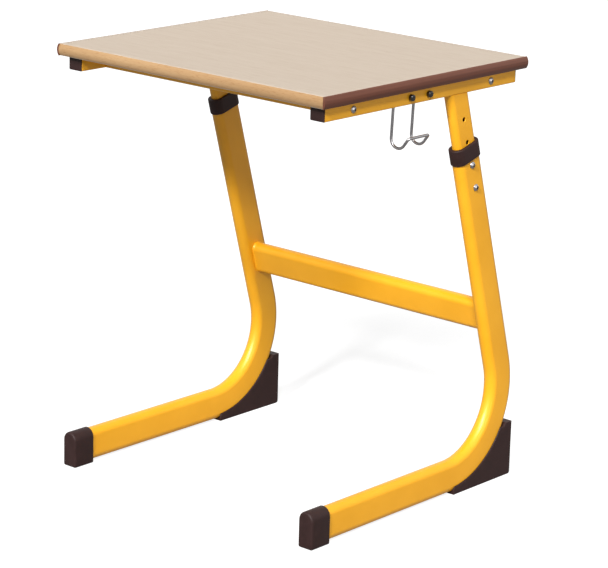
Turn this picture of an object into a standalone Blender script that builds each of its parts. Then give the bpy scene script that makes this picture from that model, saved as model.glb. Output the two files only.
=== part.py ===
"""Height-adjustable school desk for one pupil, on two C-shaped flat-oval tube legs.

Metres, +Z up, +X to the hook side, -Y to the pupil's side. The leaned posts of the upper
frame slide in the legs; lock screws in the legs hold them at a row of holes.
"""

import math

import bmesh
import bpy
from mathutils import Matrix, Vector

# Overall
TOP_WIDTH = 0.606
TOP_DEPTH = 0.530
DESK_HEIGHT = 0.760
FIT = 0.0003
CUT_OVERRUN = 0.004

# Table top
CORE_THICKNESS = 0.0192
LAMINATE_THICKNESS = 0.0008
LIPPING_DEPTH = 0.020
EDGE_BULGE = 0.004
EDGE_LAND = 0.0005

# Upper frame
RAIL_WIDTH = 0.030
RAIL_HEIGHT = 0.024
RAIL_WALL = 0.0015
RAIL_CORNER = 0.0022
RAIL_END_INSET = 0.0155
CROSS_RAIL_WIDTH = 0.025
CROSS_RAIL_INSET = 0.086
RAIL_PLUG_PLATE = 0.002
RAIL_PLUG_DEPTH = 0.012
RAIL_PLUG_EDGE = 0.0006
END_INSERT_DEPTH = 0.014

# Legs and posts, all flat-oval tube
POST_EDGE_OFFSET = 0.024
POST_LEAN = math.radians(16.5)
LEG_WIDTH = 0.026
LEG_DEPTH = 0.059
LEG_WALL = 0.0015
LEG_BEND_RADIUS = 0.141
FLOOR_CLEARANCE = 0.003
TOE_INSET = 0.013
FOOT_REACH = 0.5505
POST_WIDTH = 0.020
POST_DEPTH = 0.050
POST_WALL = 0.0015
POST_INSERTION = 0.270
HOLE_PITCH = 0.0425
HOLE_RADIUS = 0.004
HOLE_COUNT = 5
STEPS_DOWN = 2
LOWEST_RAIL_GAP = 0.0118
LOCK_BELOW_TUBE_END = 0.0355

# Crossbar between the legs, leaned as the posts are
CROSSBAR_WIDTH = 0.025
CROSSBAR_DEPTH = 0.060
CROSSBAR_HEIGHT_ON_POST = 0.281

# Guide collars on the leg ends, and glide plugs on the post ends
COLLAR_PROTRUSION = 0.0025
COLLAR_SKIRT = 0.0265
COLLAR_LIP = 0.0025
COLLAR_EDGE = 0.002
GLIDE_FLANGE = 0.004
GLIDE_BODY = 0.014

# Front foot caps
CAP_WALL = 0.0023
CAP_LENGTH = 0.045
CAP_FRONT_WALL = 0.004
CAP_BASE_CORNER = 0.004
CAP_EDGE = 0.003

# Rear wedges under the bends
WEDGE_HEIGHT = 0.099
WEDGE_LENGTH = 0.160
WEDGE_CHEEK_RISE = 0.011
WEDGE_TOP_LAND = 0.017
WEDGE_STEP = 0.006
WEDGE_NOSE = 0.002
WEDGE_EDGE = 0.0015
WEDGE_HEEL_RADIUS = 0.005
WEDGE_SCREW_INSET = 0.031
WEDGE_SCREW_RECESS = 0.003

# Bag hook
HOOK_WIRE_RADIUS = 0.0025
HOOK_BOLT_SPACING = 0.0464
HOOK_CENTRE_OFFSET = 0.012
HOOK_EYE_RADIUS = 0.0065
HOOK_NECK_RADIUS = 0.003
HOOK_DROP = 0.073
HOOK_LEAN_IN = 0.0027
HOOK_CROOK_RADIUS = 0.015
HOOK_CROOK_TURN = math.radians(143)
HOOK_TIP_RUN = 0.0165
HOOK_TIP_RADIUS = 0.004

# Fasteners
BOLT_RADIUS = 0.003
BOLT_HEAD_RADIUS = 0.0062
BOLT_HEAD_HEIGHT = 0.0042
SOCKET_RADIUS = 0.0022
SOCKET_DEPTH = 0.0018
CROSS_RECESS_LENGTH = 0.0052
CROSS_RECESS_WIDTH = 0.0013
CAP_HEAD_RADIUS = 0.0058
CAP_HEAD_HEIGHT = 0.0072
NUT_RADIUS = 0.0058
NUT_HEIGHT = 0.005
WASHER_RADIUS = 0.0065
WASHER_THICKNESS = 0.0012
LOCK_INSERT_RADIUS = 0.0045
LOCK_INSERT_FLANGE_RADIUS = 0.006
LOCK_INSERT_FLANGE = 0.0006
WOOD_SCREW_RADIUS = 0.002
WOOD_SCREW_HEAD_RADIUS = 0.0042
WOOD_SCREW_HEAD_HEIGHT = 0.0022
WOOD_SCREW_GRIP = 0.013
SIDE_SCREW_OFFSET = 0.100
CROSS_SCREW_SPACING = 0.300
WEDGE_SCREW_LENGTH = 0.008
POINT_LENGTH = 0.002

# Facets
OVAL_STEPS = 8
BEND_STEPS = 14
EDGE_STEPS = 8
ROUND_STEPS = 12
CORNER_STEPS = 2

# Derived places
TOP_THICKNESS = CORE_THICKNESS + 2 * LAMINATE_THICKNESS
TOP_UNDERSIDE = DESK_HEIGHT - TOP_THICKNESS
EDGE_RADIUS = (TOP_THICKNESS**2 / 4 + EDGE_BULGE**2) / (2 * EDGE_BULGE)
EDGE_STRIP_THICKNESS = EDGE_BULGE + EDGE_LAND
RAIL_TOP = TOP_UNDERSIDE - FIT
RAIL_MIDDLE = RAIL_TOP - RAIL_HEIGHT / 2
RAIL_BOTTOM = RAIL_TOP - RAIL_HEIGHT
POST_X = TOP_WIDTH / 2 - POST_EDGE_OFFSET
RAIL_OUTER_X = POST_X + POST_WIDTH / 2
RAIL_X = RAIL_OUTER_X - RAIL_WIDTH / 2
RAIL_INNER_X = RAIL_OUTER_X - RAIL_WIDTH
RAIL_LENGTH = TOP_DEPTH - 2 * RAIL_END_INSET - 2 * RAIL_PLUG_PLATE
CROSS_RAIL_Y = TOP_DEPTH / 2 - CROSS_RAIL_INSET
FOOT_Z = FLOOR_CLEARANCE + LEG_DEPTH / 2
FOOT_FRONT_Y = -TOP_DEPTH / 2 + TOE_INSET
CORNER_Y = FOOT_FRONT_Y + FOOT_REACH
BEND_TANGENT = LEG_BEND_RADIUS * math.tan((math.pi / 2 + POST_LEAN) / 2)
BEND_CENTRE_Y = CORNER_Y - BEND_TANGENT
BEND_CENTRE_Z = FOOT_Z + LEG_BEND_RADIUS
POST_TOP = (RAIL_BOTTOM - FOOT_Z) / math.cos(POST_LEAN)
LEG_POST_LENGTH = POST_TOP - STEPS_DOWN * HOLE_PITCH - LOWEST_RAIL_GAP
LOCK_UPPER = LEG_POST_LENGTH - LOCK_BELOW_TUBE_END
LOCK_LOWER = LOCK_UPPER - HOLE_PITCH
WEDGE_BACK_Y = BEND_CENTRE_Y + LEG_BEND_RADIUS + LEG_DEPTH / 2
WEDGE_FRONT_Y = WEDGE_BACK_Y - WEDGE_LENGTH
CAP_WIDTH = LEG_WIDTH + 2 * CAP_WALL
HOOK_X = RAIL_INNER_X - HOOK_WIRE_RADIUS - FIT
HOOK_CENTRE_Y = -HOOK_CENTRE_OFFSET
ORIGIN_SHIFT_Y = (max(WEDGE_BACK_Y, TOP_DEPTH / 2) - TOP_DEPTH / 2) / 2
SIDES = ((-1, "left"), (1, "right"))
CROSS_RAILS = (("front", -CROSS_RAIL_Y), ("rear", CROSS_RAIL_Y))


# Materials

def material(name, colour, roughness, metallic=0.0):
    made = bpy.data.materials.new(name)
    made.use_nodes = True
    shader = made.node_tree.nodes["Principled BSDF"]
    shader.inputs["Base Color"].default_value = (*colour, 1.0)
    shader.inputs["Roughness"].default_value = roughness
    shader.inputs["Metallic"].default_value = metallic
    made.diffuse_color = (*colour, 1.0)
    return made


def make_materials():
    return {
        "yellow": material("yellow_powder_coat", (0.91, 0.45, 0.03), 0.35),
        "beech": material("beech", (0.62, 0.37, 0.20), 0.45),
        "laminate": material("pale_laminate", (0.72, 0.61, 0.48), 0.5),
        "board": material("particle_board", (0.42, 0.28, 0.16), 0.8),
        "brown": material("brown_edge", (0.15, 0.055, 0.04), 0.45),
        "black": material("black_plastic", (0.035, 0.022, 0.022), 0.5),
        "zinc": material("zinc_steel", (0.60, 0.60, 0.62), 0.3, 1.0),
        "dark_steel": material("black_steel", (0.03, 0.03, 0.03), 0.35, 1.0),
    }


# Scene and object helpers

def clear_scene():
    for old in list(bpy.data.objects):
        bpy.data.objects.remove(old, do_unlink=True)


def new_collection(name):
    made = bpy.data.collections.new(name)
    bpy.context.scene.collection.children.link(made)
    return made


def add_object(name, mesh, collection, parent=None, coat=None):
    made = bpy.data.objects.new(name, mesh)
    collection.objects.link(made)
    if coat:
        mesh.materials.clear()
        mesh.materials.append(coat)
    if parent:
        made.parent = parent
        made.matrix_parent_inverse = parent.matrix_world.inverted()
    return made


def shade(mesh, sharp_angle=math.radians(35)):
    mesh.shade_smooth()
    mesh.set_sharp_from_angle(angle=sharp_angle)
    return mesh


def mesh_from(bm, name):
    mesh = bpy.data.meshes.new(name)
    bm.to_mesh(mesh)
    bm.free()
    return shade(mesh)


def baked(obj):
    """The evaluated mesh of an object in world space; the object itself is removed."""
    bpy.context.view_layer.update()
    graph = bpy.context.evaluated_depsgraph_get()
    evaluated = obj.evaluated_get(graph)
    mesh = bpy.data.meshes.new_from_object(evaluated)
    mesh.transform(obj.matrix_world)
    bpy.data.objects.remove(obj, do_unlink=True)
    return mesh


def combine(mesh, other, operation, collection):
    """A Boolean of two closed meshes, applied."""
    base = add_object("base", mesh, collection)
    tool = add_object("tool", other, collection)
    cut = base.modifiers.new("cut", "BOOLEAN")
    cut.operation = operation
    cut.object = tool
    result = baked(base)
    bpy.data.objects.remove(tool, do_unlink=True)
    return result


def place_each(mesh, places, parts, parent, coat):
    """One object for each (name, matrix) pair, all sharing the mesh."""
    for name, matrix in places:
        add_object(name, mesh, parts, parent, coat).matrix_basis = matrix


# Outlines, as lists of (across, along)

def arc(centre, radius, start, turn, steps):
    return [
        (
            centre[0] + radius * math.cos(start + turn * i / steps),
            centre[1] + radius * math.sin(start + turn * i / steps),
        )
        for i in range(steps + 1)
    ]


def flat_oval(width, depth):
    radius = width / 2
    straight = (depth - width) / 2
    return arc((0, straight), radius, 0, math.pi, OVAL_STEPS) + arc(
        (0, -straight), radius, math.pi, math.pi, OVAL_STEPS
    )


def rounded_rectangle(width, height, radius):
    x = width / 2 - radius
    y = height / 2 - radius
    quarter = math.pi / 2
    outline = []
    for turn, centre in enumerate(((x, y), (-x, y), (-x, -y), (x, -y))):
        outline += arc(centre, radius, turn * quarter, quarter, CORNER_STEPS)
    return outline


# Solids

def loop_of(bm, outline, place):
    """A closed ring of edges through the outline's points, placed by the matrix."""
    points = [bm.verts.new(place @ Vector((*point, 0))) for point in outline]
    return [bm.edges.new((points[i - 1], points[i])) for i in range(len(points))]


def moved_ring(bm, edges, offset):
    grown = bmesh.ops.extrude_edge_only(bm, edges=edges)["geom"]
    points = [item for item in grown if isinstance(item, bmesh.types.BMVert)]
    bmesh.ops.translate(bm, verts=points, vec=offset)
    return [item for item in grown if isinstance(item, bmesh.types.BMEdge)]


def prism(outline, length, place, name):
    """A solid with the given outline, from the matrix's origin along its local Z."""
    bm = bmesh.new()
    start = loop_of(bm, outline, place)
    offset = place.to_3x3() @ Vector((0, 0, length))
    end = moved_ring(bm, start, offset)
    for ring in (start, end):
        bmesh.ops.contextual_create(bm, geom=ring)
    bmesh.ops.recalc_face_normals(bm, faces=bm.faces)
    return mesh_from(bm, name)


def tube(outline, length, place, wall, name, collection):
    """An open-ended tube of the given outside outline."""
    bm = bmesh.new()
    moved_ring(bm, loop_of(bm, outline, place), place.to_3x3() @ Vector((0, 0, length)))
    bmesh.ops.recalc_face_normals(bm, faces=bm.faces)
    return walled(mesh_from(bm, name), wall, collection)


def walled(mesh, wall, collection):
    shell = add_object("shell", mesh, collection)
    thick = shell.modifiers.new("wall", "SOLIDIFY")
    thick.thickness = wall
    thick.offset = -1
    thick.use_even_offset = True
    thick.use_rim = True
    return baked(shell)


def turned(profile, name, collection, steps=ROUND_STEPS):
    """A solid turned about Z from (radius, height) points, listed from top to bottom."""
    bm = bmesh.new()
    points = [bm.verts.new((radius, 0, height)) for radius, height in profile]
    for first, second in zip(points, points[1:]):
        bm.edges.new((first, second))
    obj = add_object(name, mesh_from(bm, name), collection)
    spin = obj.modifiers.new("turn", "SCREW")
    spin.steps = spin.render_steps = steps
    spin.use_merge_vertices = True
    spin.merge_threshold = FIT / steps
    spin.use_normal_calculate = True
    mesh = baked(obj)
    bm = bmesh.new()
    bm.from_mesh(mesh)
    bmesh.ops.remove_doubles(bm, verts=bm.verts, dist=FIT / steps)
    bmesh.ops.recalc_face_normals(bm, faces=bm.faces)
    return mesh_from(bm, name)


def cylinder(radius, length, place, name, steps=ROUND_STEPS):
    """A round solid from the matrix's origin along its local Z."""
    bm = bmesh.new()
    bmesh.ops.create_cone(
        bm,
        cap_ends=True,
        segments=steps,
        radius1=radius,
        radius2=radius,
        depth=length,
        matrix=place @ Matrix.Translation((0, 0, length / 2)),
    )
    return mesh_from(bm, name)


def block(size, centre, name, edge=0):
    bm = bmesh.new()
    bmesh.ops.create_cube(bm, size=1, matrix=Matrix.Translation(centre) @ Matrix.Diagonal((*size, 1)))
    if edge:
        bmesh.ops.bevel(bm, geom=bm.edges[:], offset=edge, segments=1, affect="EDGES")
    return mesh_from(bm, name)


def bored(mesh, cutters, collection):
    for cutter in cutters:
        mesh = combine(mesh, cutter, "DIFFERENCE", collection)
    return mesh


# Placing

def along_x(x, y, z, direction=1):
    """Local Z along world X, local X along world Y, local Y along world Z."""
    turn = Matrix(((0, 0, 1), (1, 0, 0), (0, 1, 0))).to_4x4()
    if direction < 0:
        turn = Matrix.Rotation(math.pi, 4, "Z") @ turn
    return Matrix.Translation((x, y, z)) @ turn


def along_y(x, y, z):
    """Local Z along world Y, local X along world X, local Y down to world -Z."""
    return Matrix.Translation((x, y, z)) @ Matrix.Rotation(-math.pi / 2, 4, "X")


def on_post(side, distance):
    """A frame on a post's centre line: local Z up the post, local Y to the rear."""
    y = CORNER_Y - distance * math.sin(POST_LEAN)
    z = FOOT_Z + distance * math.cos(POST_LEAN)
    return Matrix.Translation((side * POST_X, y, z)) @ Matrix.Rotation(POST_LEAN, 4, "X")


def out_of_post(side, distance, offset):
    """A frame whose local Z points out of a post's outer side, at the given offset."""
    place = on_post(side, distance) @ Matrix.Translation((side * offset, 0, 0))
    return place @ Matrix.Rotation(side * math.pi / 2, 4, "Y")


# Leg tubes

def leg_surface(width, depth, side, capped, name):
    """The C shape: foot, bend and post as one swept flat-oval surface."""
    bm = bmesh.new()
    start = loop_of(bm, flat_oval(width, depth), along_y(side * POST_X, FOOT_FRONT_Y, FOOT_Z))
    foot = Vector((0, BEND_CENTRE_Y - FOOT_FRONT_Y, 0))
    ring = moved_ring(bm, start, foot)
    points = list({point for edge in ring for point in edge.verts})
    turned_ring = bmesh.ops.spin(
        bm,
        geom=points + ring,
        cent=(0, BEND_CENTRE_Y, BEND_CENTRE_Z),
        axis=(1, 0, 0),
        angle=math.pi / 2 + POST_LEAN,
        steps=BEND_STEPS,
    )["geom_last"]
    ring = [item for item in turned_ring if isinstance(item, bmesh.types.BMEdge)]
    rise = LEG_POST_LENGTH - BEND_TANGENT
    end = moved_ring(
        bm, ring, Vector((0, -rise * math.sin(POST_LEAN), rise * math.cos(POST_LEAN)))
    )
    if capped:
        for rim in (start, end):
            bmesh.ops.contextual_create(bm, geom=rim)
    bmesh.ops.recalc_face_normals(bm, faces=bm.faces)
    return mesh_from(bm, name)


def make_leg(side, name, parts, cutters, parent, coat):
    mesh = walled(leg_surface(LEG_WIDTH, LEG_DEPTH, side, False, name), LEG_WALL, cutters)
    inside = LEG_WIDTH / 2 - LEG_WALL - FIT
    for distance in (LOCK_UPPER, LOCK_LOWER):
        hole = cylinder(
            LOCK_INSERT_RADIUS + FIT,
            LEG_WALL + FIT + CUT_OVERRUN,
            out_of_post(side, distance, inside),
            "lock_hole",
        )
        mesh = combine(mesh, hole, "DIFFERENCE", cutters)
    pilot = cylinder(
        WOOD_SCREW_RADIUS + FIT,
        LEG_DEPTH / 2,
        Matrix.Translation((side * POST_X, wedge_screw_y(), 0)),
        "pilot_hole",
    )
    mesh = combine(mesh, pilot, "DIFFERENCE", cutters)
    return add_object(name, shade(mesh), parts, parent, coat)


def make_crossbar(parts, cutters, parent, coat):
    half = POST_X - LEG_WIDTH / 2 - FIT
    lean = Matrix.Rotation(POST_LEAN, 4, "X")
    middle = on_post(1, CROSSBAR_HEIGHT_ON_POST).translation
    place = (
        Matrix.Translation((-half, middle.y, middle.z)) @ lean @ along_x(0, 0, 0)
    )
    outline = flat_oval(CROSSBAR_WIDTH, CROSSBAR_DEPTH)
    mesh = tube(outline, 2 * half, place, LEG_WALL, "crossbar", cutters)
    return add_object("crossbar", shade(mesh), parts, parent, coat)


# Guide collars

def make_collar(side, name, parts, cutters, parent, coat):
    bottom = LEG_POST_LENGTH - COLLAR_SKIRT
    outline = flat_oval(
        LEG_WIDTH + 2 * COLLAR_PROTRUSION, LEG_DEPTH + 2 * COLLAR_PROTRUSION
    )
    mesh = prism(outline, COLLAR_SKIRT + COLLAR_LIP, on_post(side, bottom), name)
    solid = add_object("collar", mesh, cutters)
    soften = solid.modifiers.new("edge", "BEVEL")
    soften.width = COLLAR_EDGE
    soften.segments = 3
    soften.angle_limit = math.radians(60)
    mesh = baked(solid)
    socket = prism(
        flat_oval(LEG_WIDTH + 2 * FIT, LEG_DEPTH + 2 * FIT),
        COLLAR_SKIRT + FIT + CUT_OVERRUN,
        on_post(side, bottom - CUT_OVERRUN),
        "socket",
    )
    mesh = combine(mesh, socket, "DIFFERENCE", cutters)
    sleeve = prism(
        flat_oval(LEG_WIDTH - 2 * LEG_WALL - 2 * FIT, LEG_DEPTH - 2 * LEG_WALL - 2 * FIT),
        COLLAR_SKIRT + COLLAR_LIP / 2,
        on_post(side, bottom),
        "sleeve",
    )
    mesh = combine(mesh, sleeve, "UNION", cutters)
    way = prism(
        flat_oval(POST_WIDTH + 2 * FIT, POST_DEPTH + 2 * FIT),
        COLLAR_SKIRT + COLLAR_LIP + 2 * CUT_OVERRUN,
        on_post(side, bottom - CUT_OVERRUN),
        "way",
    )
    mesh = combine(mesh, way, "DIFFERENCE", cutters)
    return add_object(name, shade(mesh), parts, parent, coat)


# Foot caps and rear wedges

def arch_outline(width, top, corner):
    """Flat base with small corners, straight sides and a round top, base at zero."""
    radius = width / 2
    outline = arc((0, top - radius), radius, 0, math.pi, OVAL_STEPS)
    outline += arc((-radius + corner, corner), corner, math.pi, math.pi / 2, CORNER_STEPS)
    outline += arc((radius - corner, corner), corner, -math.pi / 2, math.pi / 2, CORNER_STEPS)
    return outline


def make_foot_cap(side, name, parts, cutters, parent, coat):
    front = FOOT_FRONT_Y - CAP_FRONT_WALL - FIT
    x = side * POST_X
    outline = arch_outline(CAP_WIDTH, FOOT_Z + LEG_DEPTH / 2 + CAP_WALL, CAP_BASE_CORNER)
    upright = Matrix.Translation((x, front + CAP_LENGTH, 0)) @ Matrix.Rotation(math.pi / 2, 4, "X")
    mesh = prism(outline, CAP_LENGTH, upright, name)
    solid = add_object("cap", mesh, cutters)
    soften = solid.modifiers.new("edge", "BEVEL")
    soften.width = CAP_EDGE
    soften.segments = 3
    soften.angle_limit = math.radians(60)
    mesh = baked(solid)
    socket = prism(
        flat_oval(LEG_WIDTH + 2 * FIT, LEG_DEPTH + 2 * FIT),
        CAP_LENGTH,
        along_y(x, FOOT_FRONT_Y - FIT, FOOT_Z),
        "socket",
    )
    mesh = combine(mesh, socket, "DIFFERENCE", cutters)
    return add_object(name, shade(mesh), parts, parent, coat)


def wedge_screw_y():
    return WEDGE_FRONT_Y + WEDGE_SCREW_INSET


def wedge_outline():
    """Side view of a wedge as (y, z): flat base, upright back, and cheeks that follow
    the outside of the bend."""
    radius = LEG_BEND_RADIUS + LEG_DEPTH / 2 - WEDGE_CHEEK_RISE
    shoulder = WEDGE_HEIGHT - WEDGE_STEP
    top_angle = -math.asin((BEND_CENTRE_Z - shoulder) / radius)
    front_y = WEDGE_FRONT_Y + WEDGE_NOSE
    low_angle = -math.acos((front_y - BEND_CENTRE_Y) / radius)
    outline = [
        (WEDGE_FRONT_Y, 0),
        *arc(
            (WEDGE_BACK_Y - WEDGE_HEEL_RADIUS, WEDGE_HEEL_RADIUS),
            WEDGE_HEEL_RADIUS,
            -math.pi / 2,
            math.pi / 2,
            CORNER_STEPS + 1,
        ),
        (WEDGE_BACK_Y, WEDGE_HEIGHT),
        (WEDGE_BACK_Y - WEDGE_TOP_LAND, WEDGE_HEIGHT),
        (WEDGE_BACK_Y - WEDGE_TOP_LAND - WEDGE_STEP, shoulder),
    ]
    outline += arc(
        (BEND_CENTRE_Y, BEND_CENTRE_Z), radius, top_angle, low_angle - top_angle, BEND_STEPS
    )
    outline.append((WEDGE_FRONT_Y, outline[-1][1] - WEDGE_NOSE))
    return outline


def make_wedge(side, name, parts, cutters, parent, coat):
    x = side * POST_X
    mesh = prism(wedge_outline(), CAP_WIDTH, along_x(x - CAP_WIDTH / 2, 0, 0), name)
    solid = add_object("wedge", mesh, cutters)
    soften = solid.modifiers.new("edge", "BEVEL")
    soften.width = WEDGE_EDGE
    soften.segments = 2
    soften.angle_limit = math.radians(60)
    mesh = baked(solid)
    saddle = leg_surface(LEG_WIDTH + 2 * FIT, LEG_DEPTH + 2 * FIT, side, True, "saddle")
    mesh = combine(mesh, saddle, "DIFFERENCE", cutters)
    hole = cylinder(
        WOOD_SCREW_RADIUS + FIT,
        LEG_DEPTH / 2,
        Matrix.Translation((x, wedge_screw_y(), -CUT_OVERRUN)),
        "screw_hole",
    )
    recess = cylinder(
        WOOD_SCREW_HEAD_RADIUS + FIT,
        WEDGE_SCREW_RECESS + CUT_OVERRUN,
        Matrix.Translation((x, wedge_screw_y(), -CUT_OVERRUN)),
        "screw_recess",
    )
    mesh = bored(mesh, (hole, recess), cutters)
    return add_object(name, shade(mesh), parts, parent, coat)


# Upper frame

def side_screw_place(side):
    return (side * RAIL_X, -SIDE_SCREW_OFFSET)


def cross_screw_places(y):
    return [(sign * CROSS_SCREW_SPACING / 2, y) for sign in (-1, 1)]


def upright_hole(x, y):
    return cylinder(
        WOOD_SCREW_RADIUS + FIT,
        RAIL_HEIGHT + 2 * CUT_OVERRUN,
        Matrix.Translation((x, y, RAIL_BOTTOM - CUT_OVERRUN)),
        "screw_hole",
    )


def make_side_rail(side, name, parts, cutters, parent, coat):
    outline = rounded_rectangle(RAIL_WIDTH, RAIL_HEIGHT, RAIL_CORNER)
    place = along_y(side * RAIL_X, -RAIL_LENGTH / 2, RAIL_MIDDLE)
    mesh = tube(outline, RAIL_LENGTH, place, RAIL_WALL, name, cutters)
    holes = [upright_hole(*side_screw_place(side))]
    bolt_ys = [-CROSS_RAIL_Y, CROSS_RAIL_Y]
    if side > 0:
        bolt_ys += [HOOK_CENTRE_Y + sign * HOOK_BOLT_SPACING / 2 for sign in (-1, 1)]
    for y in bolt_ys:
        start = along_x(side * RAIL_X - RAIL_WIDTH / 2 - CUT_OVERRUN, y, RAIL_MIDDLE)
        holes.append(
            cylinder(BOLT_RADIUS + FIT, RAIL_WIDTH + 2 * CUT_OVERRUN, start, "bolt_hole")
        )
    return add_object(name, shade(bored(mesh, holes, cutters)), parts, parent, coat)


def make_cross_rail(y, name, parts, cutters, parent, coat):
    half = RAIL_INNER_X - FIT
    outline = rounded_rectangle(CROSS_RAIL_WIDTH, RAIL_HEIGHT, RAIL_CORNER)
    place = along_x(-half, y, RAIL_MIDDLE)
    mesh = tube(outline, 2 * half, place, RAIL_WALL, name, cutters)
    holes = [upright_hole(x, y_hole) for x, y_hole in cross_screw_places(y)]
    return add_object(name, shade(bored(mesh, holes, cutters)), parts, parent, coat)


def make_end_inserts(parts, cutters, parent, coat):
    width = CROSS_RAIL_WIDTH - 2 * RAIL_WALL - 2 * FIT
    height = RAIL_HEIGHT - 2 * RAIL_WALL - 2 * FIT
    base = block((END_INSERT_DEPTH, width, height), (-END_INSERT_DEPTH / 2, 0, 0), "insert")
    bore = cylinder(
        BOLT_RADIUS + FIT,
        END_INSERT_DEPTH + 2 * CUT_OVERRUN,
        along_x(-END_INSERT_DEPTH - CUT_OVERRUN, 0, 0),
        "insert_bore",
    )
    base = combine(base, bore, "DIFFERENCE", cutters)
    end = RAIL_INNER_X - FIT
    places = [
        (
            f"{where}_{hand}_end_insert",
            Matrix.Translation((side * end, y, RAIL_MIDDLE)) @ Matrix.Rotation(turn, 4, "Z"),
        )
        for side, hand, turn in ((1, "right", 0), (-1, "left", math.pi))
        for where, y in CROSS_RAILS
    ]
    place_each(shade(base), places, parts, parent, coat)


def make_rail_plugs(parts, cutters, parent, coat):
    plate = block(
        (RAIL_WIDTH, RAIL_PLUG_PLATE - FIT, RAIL_HEIGHT),
        (0, -(RAIL_PLUG_PLATE + FIT) / 2, 0),
        "plug_plate",
        RAIL_PLUG_EDGE,
    )
    stem = block(
        (
            RAIL_WIDTH - 2 * RAIL_WALL - 2 * FIT,
            RAIL_PLUG_DEPTH + RAIL_PLUG_PLATE / 2,
            RAIL_HEIGHT - 2 * RAIL_WALL - 2 * FIT,
        ),
        (0, RAIL_PLUG_DEPTH / 2 - RAIL_PLUG_PLATE / 4, 0),
        "plug_stem",
    )
    base = combine(plate, stem, "UNION", cutters)
    places = [
        (
            f"{where}_{hand}_rail_plug",
            Matrix.Translation((side * RAIL_X, end * RAIL_LENGTH / 2, RAIL_MIDDLE))
            @ Matrix.Rotation(turn, 4, "Z"),
        )
        for side, hand in SIDES
        for where, end, turn in (("front", -1, 0), ("rear", 1, math.pi))
    ]
    place_each(shade(base), places, parts, parent, coat)


def make_inner_post(side, name, parts, cutters, parent, coat):
    """Cut while it stands upright in the leg's plane, then leaned into its place."""
    bottom = LEG_POST_LENGTH - POST_INSERTION
    upright = Matrix.Translation((side * POST_X, 0, 0))
    leaned = on_post(side, bottom) @ upright.inverted()
    mesh = tube(
        flat_oval(POST_WIDTH, POST_DEPTH),
        POST_TOP - bottom + POST_DEPTH,
        upright,
        POST_WALL,
        name,
        cutters,
    )
    trim_size = (2 * POST_WIDTH, 4 * POST_DEPTH, 4 * POST_DEPTH)
    trim_z = RAIL_BOTTOM - FIT + trim_size[2] / 2
    trim = block(trim_size, (side * POST_X, on_post(side, POST_TOP).translation.y, trim_z), "trim")
    trim.transform(leaned.inverted())
    mesh = combine(mesh, trim, "DIFFERENCE", cutters)
    wall_inside = POST_X + POST_WIDTH / 2 - POST_WALL - CUT_OVERRUN
    for index in range(HOLE_COUNT):
        height = LOCK_LOWER + (index - 1) * HOLE_PITCH - bottom
        hole = cylinder(
            HOLE_RADIUS,
            POST_WALL + 2 * CUT_OVERRUN,
            Matrix.Translation((side * wall_inside, 0, height))
            @ Matrix.Rotation(side * math.pi / 2, 4, "Y"),
            "adjustment_hole",
        )
        mesh = combine(mesh, hole, "DIFFERENCE", cutters)
    mesh.transform(leaned)
    return add_object(name, shade(mesh), parts, parent, coat)


def make_glide_plugs(parts, cutters, parent, coat):
    flange = prism(
        flat_oval(LEG_WIDTH - 2 * LEG_WALL - 2 * FIT, LEG_DEPTH - 2 * LEG_WALL - 2 * FIT),
        GLIDE_FLANGE,
        Matrix.Translation((0, 0, -GLIDE_FLANGE - FIT)),
        "glide_flange",
    )
    body = prism(
        flat_oval(POST_WIDTH - 2 * POST_WALL - 2 * FIT, POST_DEPTH - 2 * POST_WALL - 2 * FIT),
        GLIDE_BODY + GLIDE_FLANGE / 2,
        Matrix.Translation((0, 0, -GLIDE_FLANGE / 2)),
        "glide_body",
    )
    base = combine(flange, body, "UNION", cutters)
    bottom = LEG_POST_LENGTH - POST_INSERTION
    places = [(f"{hand}_post_glide_plug", on_post(side, bottom)) for side, hand in SIDES]
    place_each(shade(base), places, parts, parent, coat)


# Table top

def swelled_edge(reach, half_height):
    """One edge of the top in side view, from its foot to its head: a shallow arc that
    stands out furthest, to the reach, at the top's middle plane."""
    half_turn = math.asin(half_height / EDGE_RADIUS)
    return arc((reach - EDGE_RADIUS, 0), EDGE_RADIUS, -half_turn, 2 * half_turn, EDGE_STEPS)


def swell_at(height):
    """How far the edges stand out at a height over the top's middle plane."""
    return EDGE_BULGE - EDGE_RADIUS + math.sqrt(EDGE_RADIUS**2 - height**2)


def make_sheet(name, low, high, width):
    """A laminate sheet whose front and rear edges are cut to the swelled profile."""
    flat = TOP_DEPTH / 2 - EDGE_BULGE
    ends = [(low, flat + swell_at(low)), (high, flat + swell_at(high))]
    outline = [(reach, level) for level, reach in ends]
    outline += [(-reach, level) for level, reach in reversed(ends)]
    place = along_x(-width / 2, 0, DESK_HEIGHT - TOP_THICKNESS / 2)
    return prism(outline, width, place, name)


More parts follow.
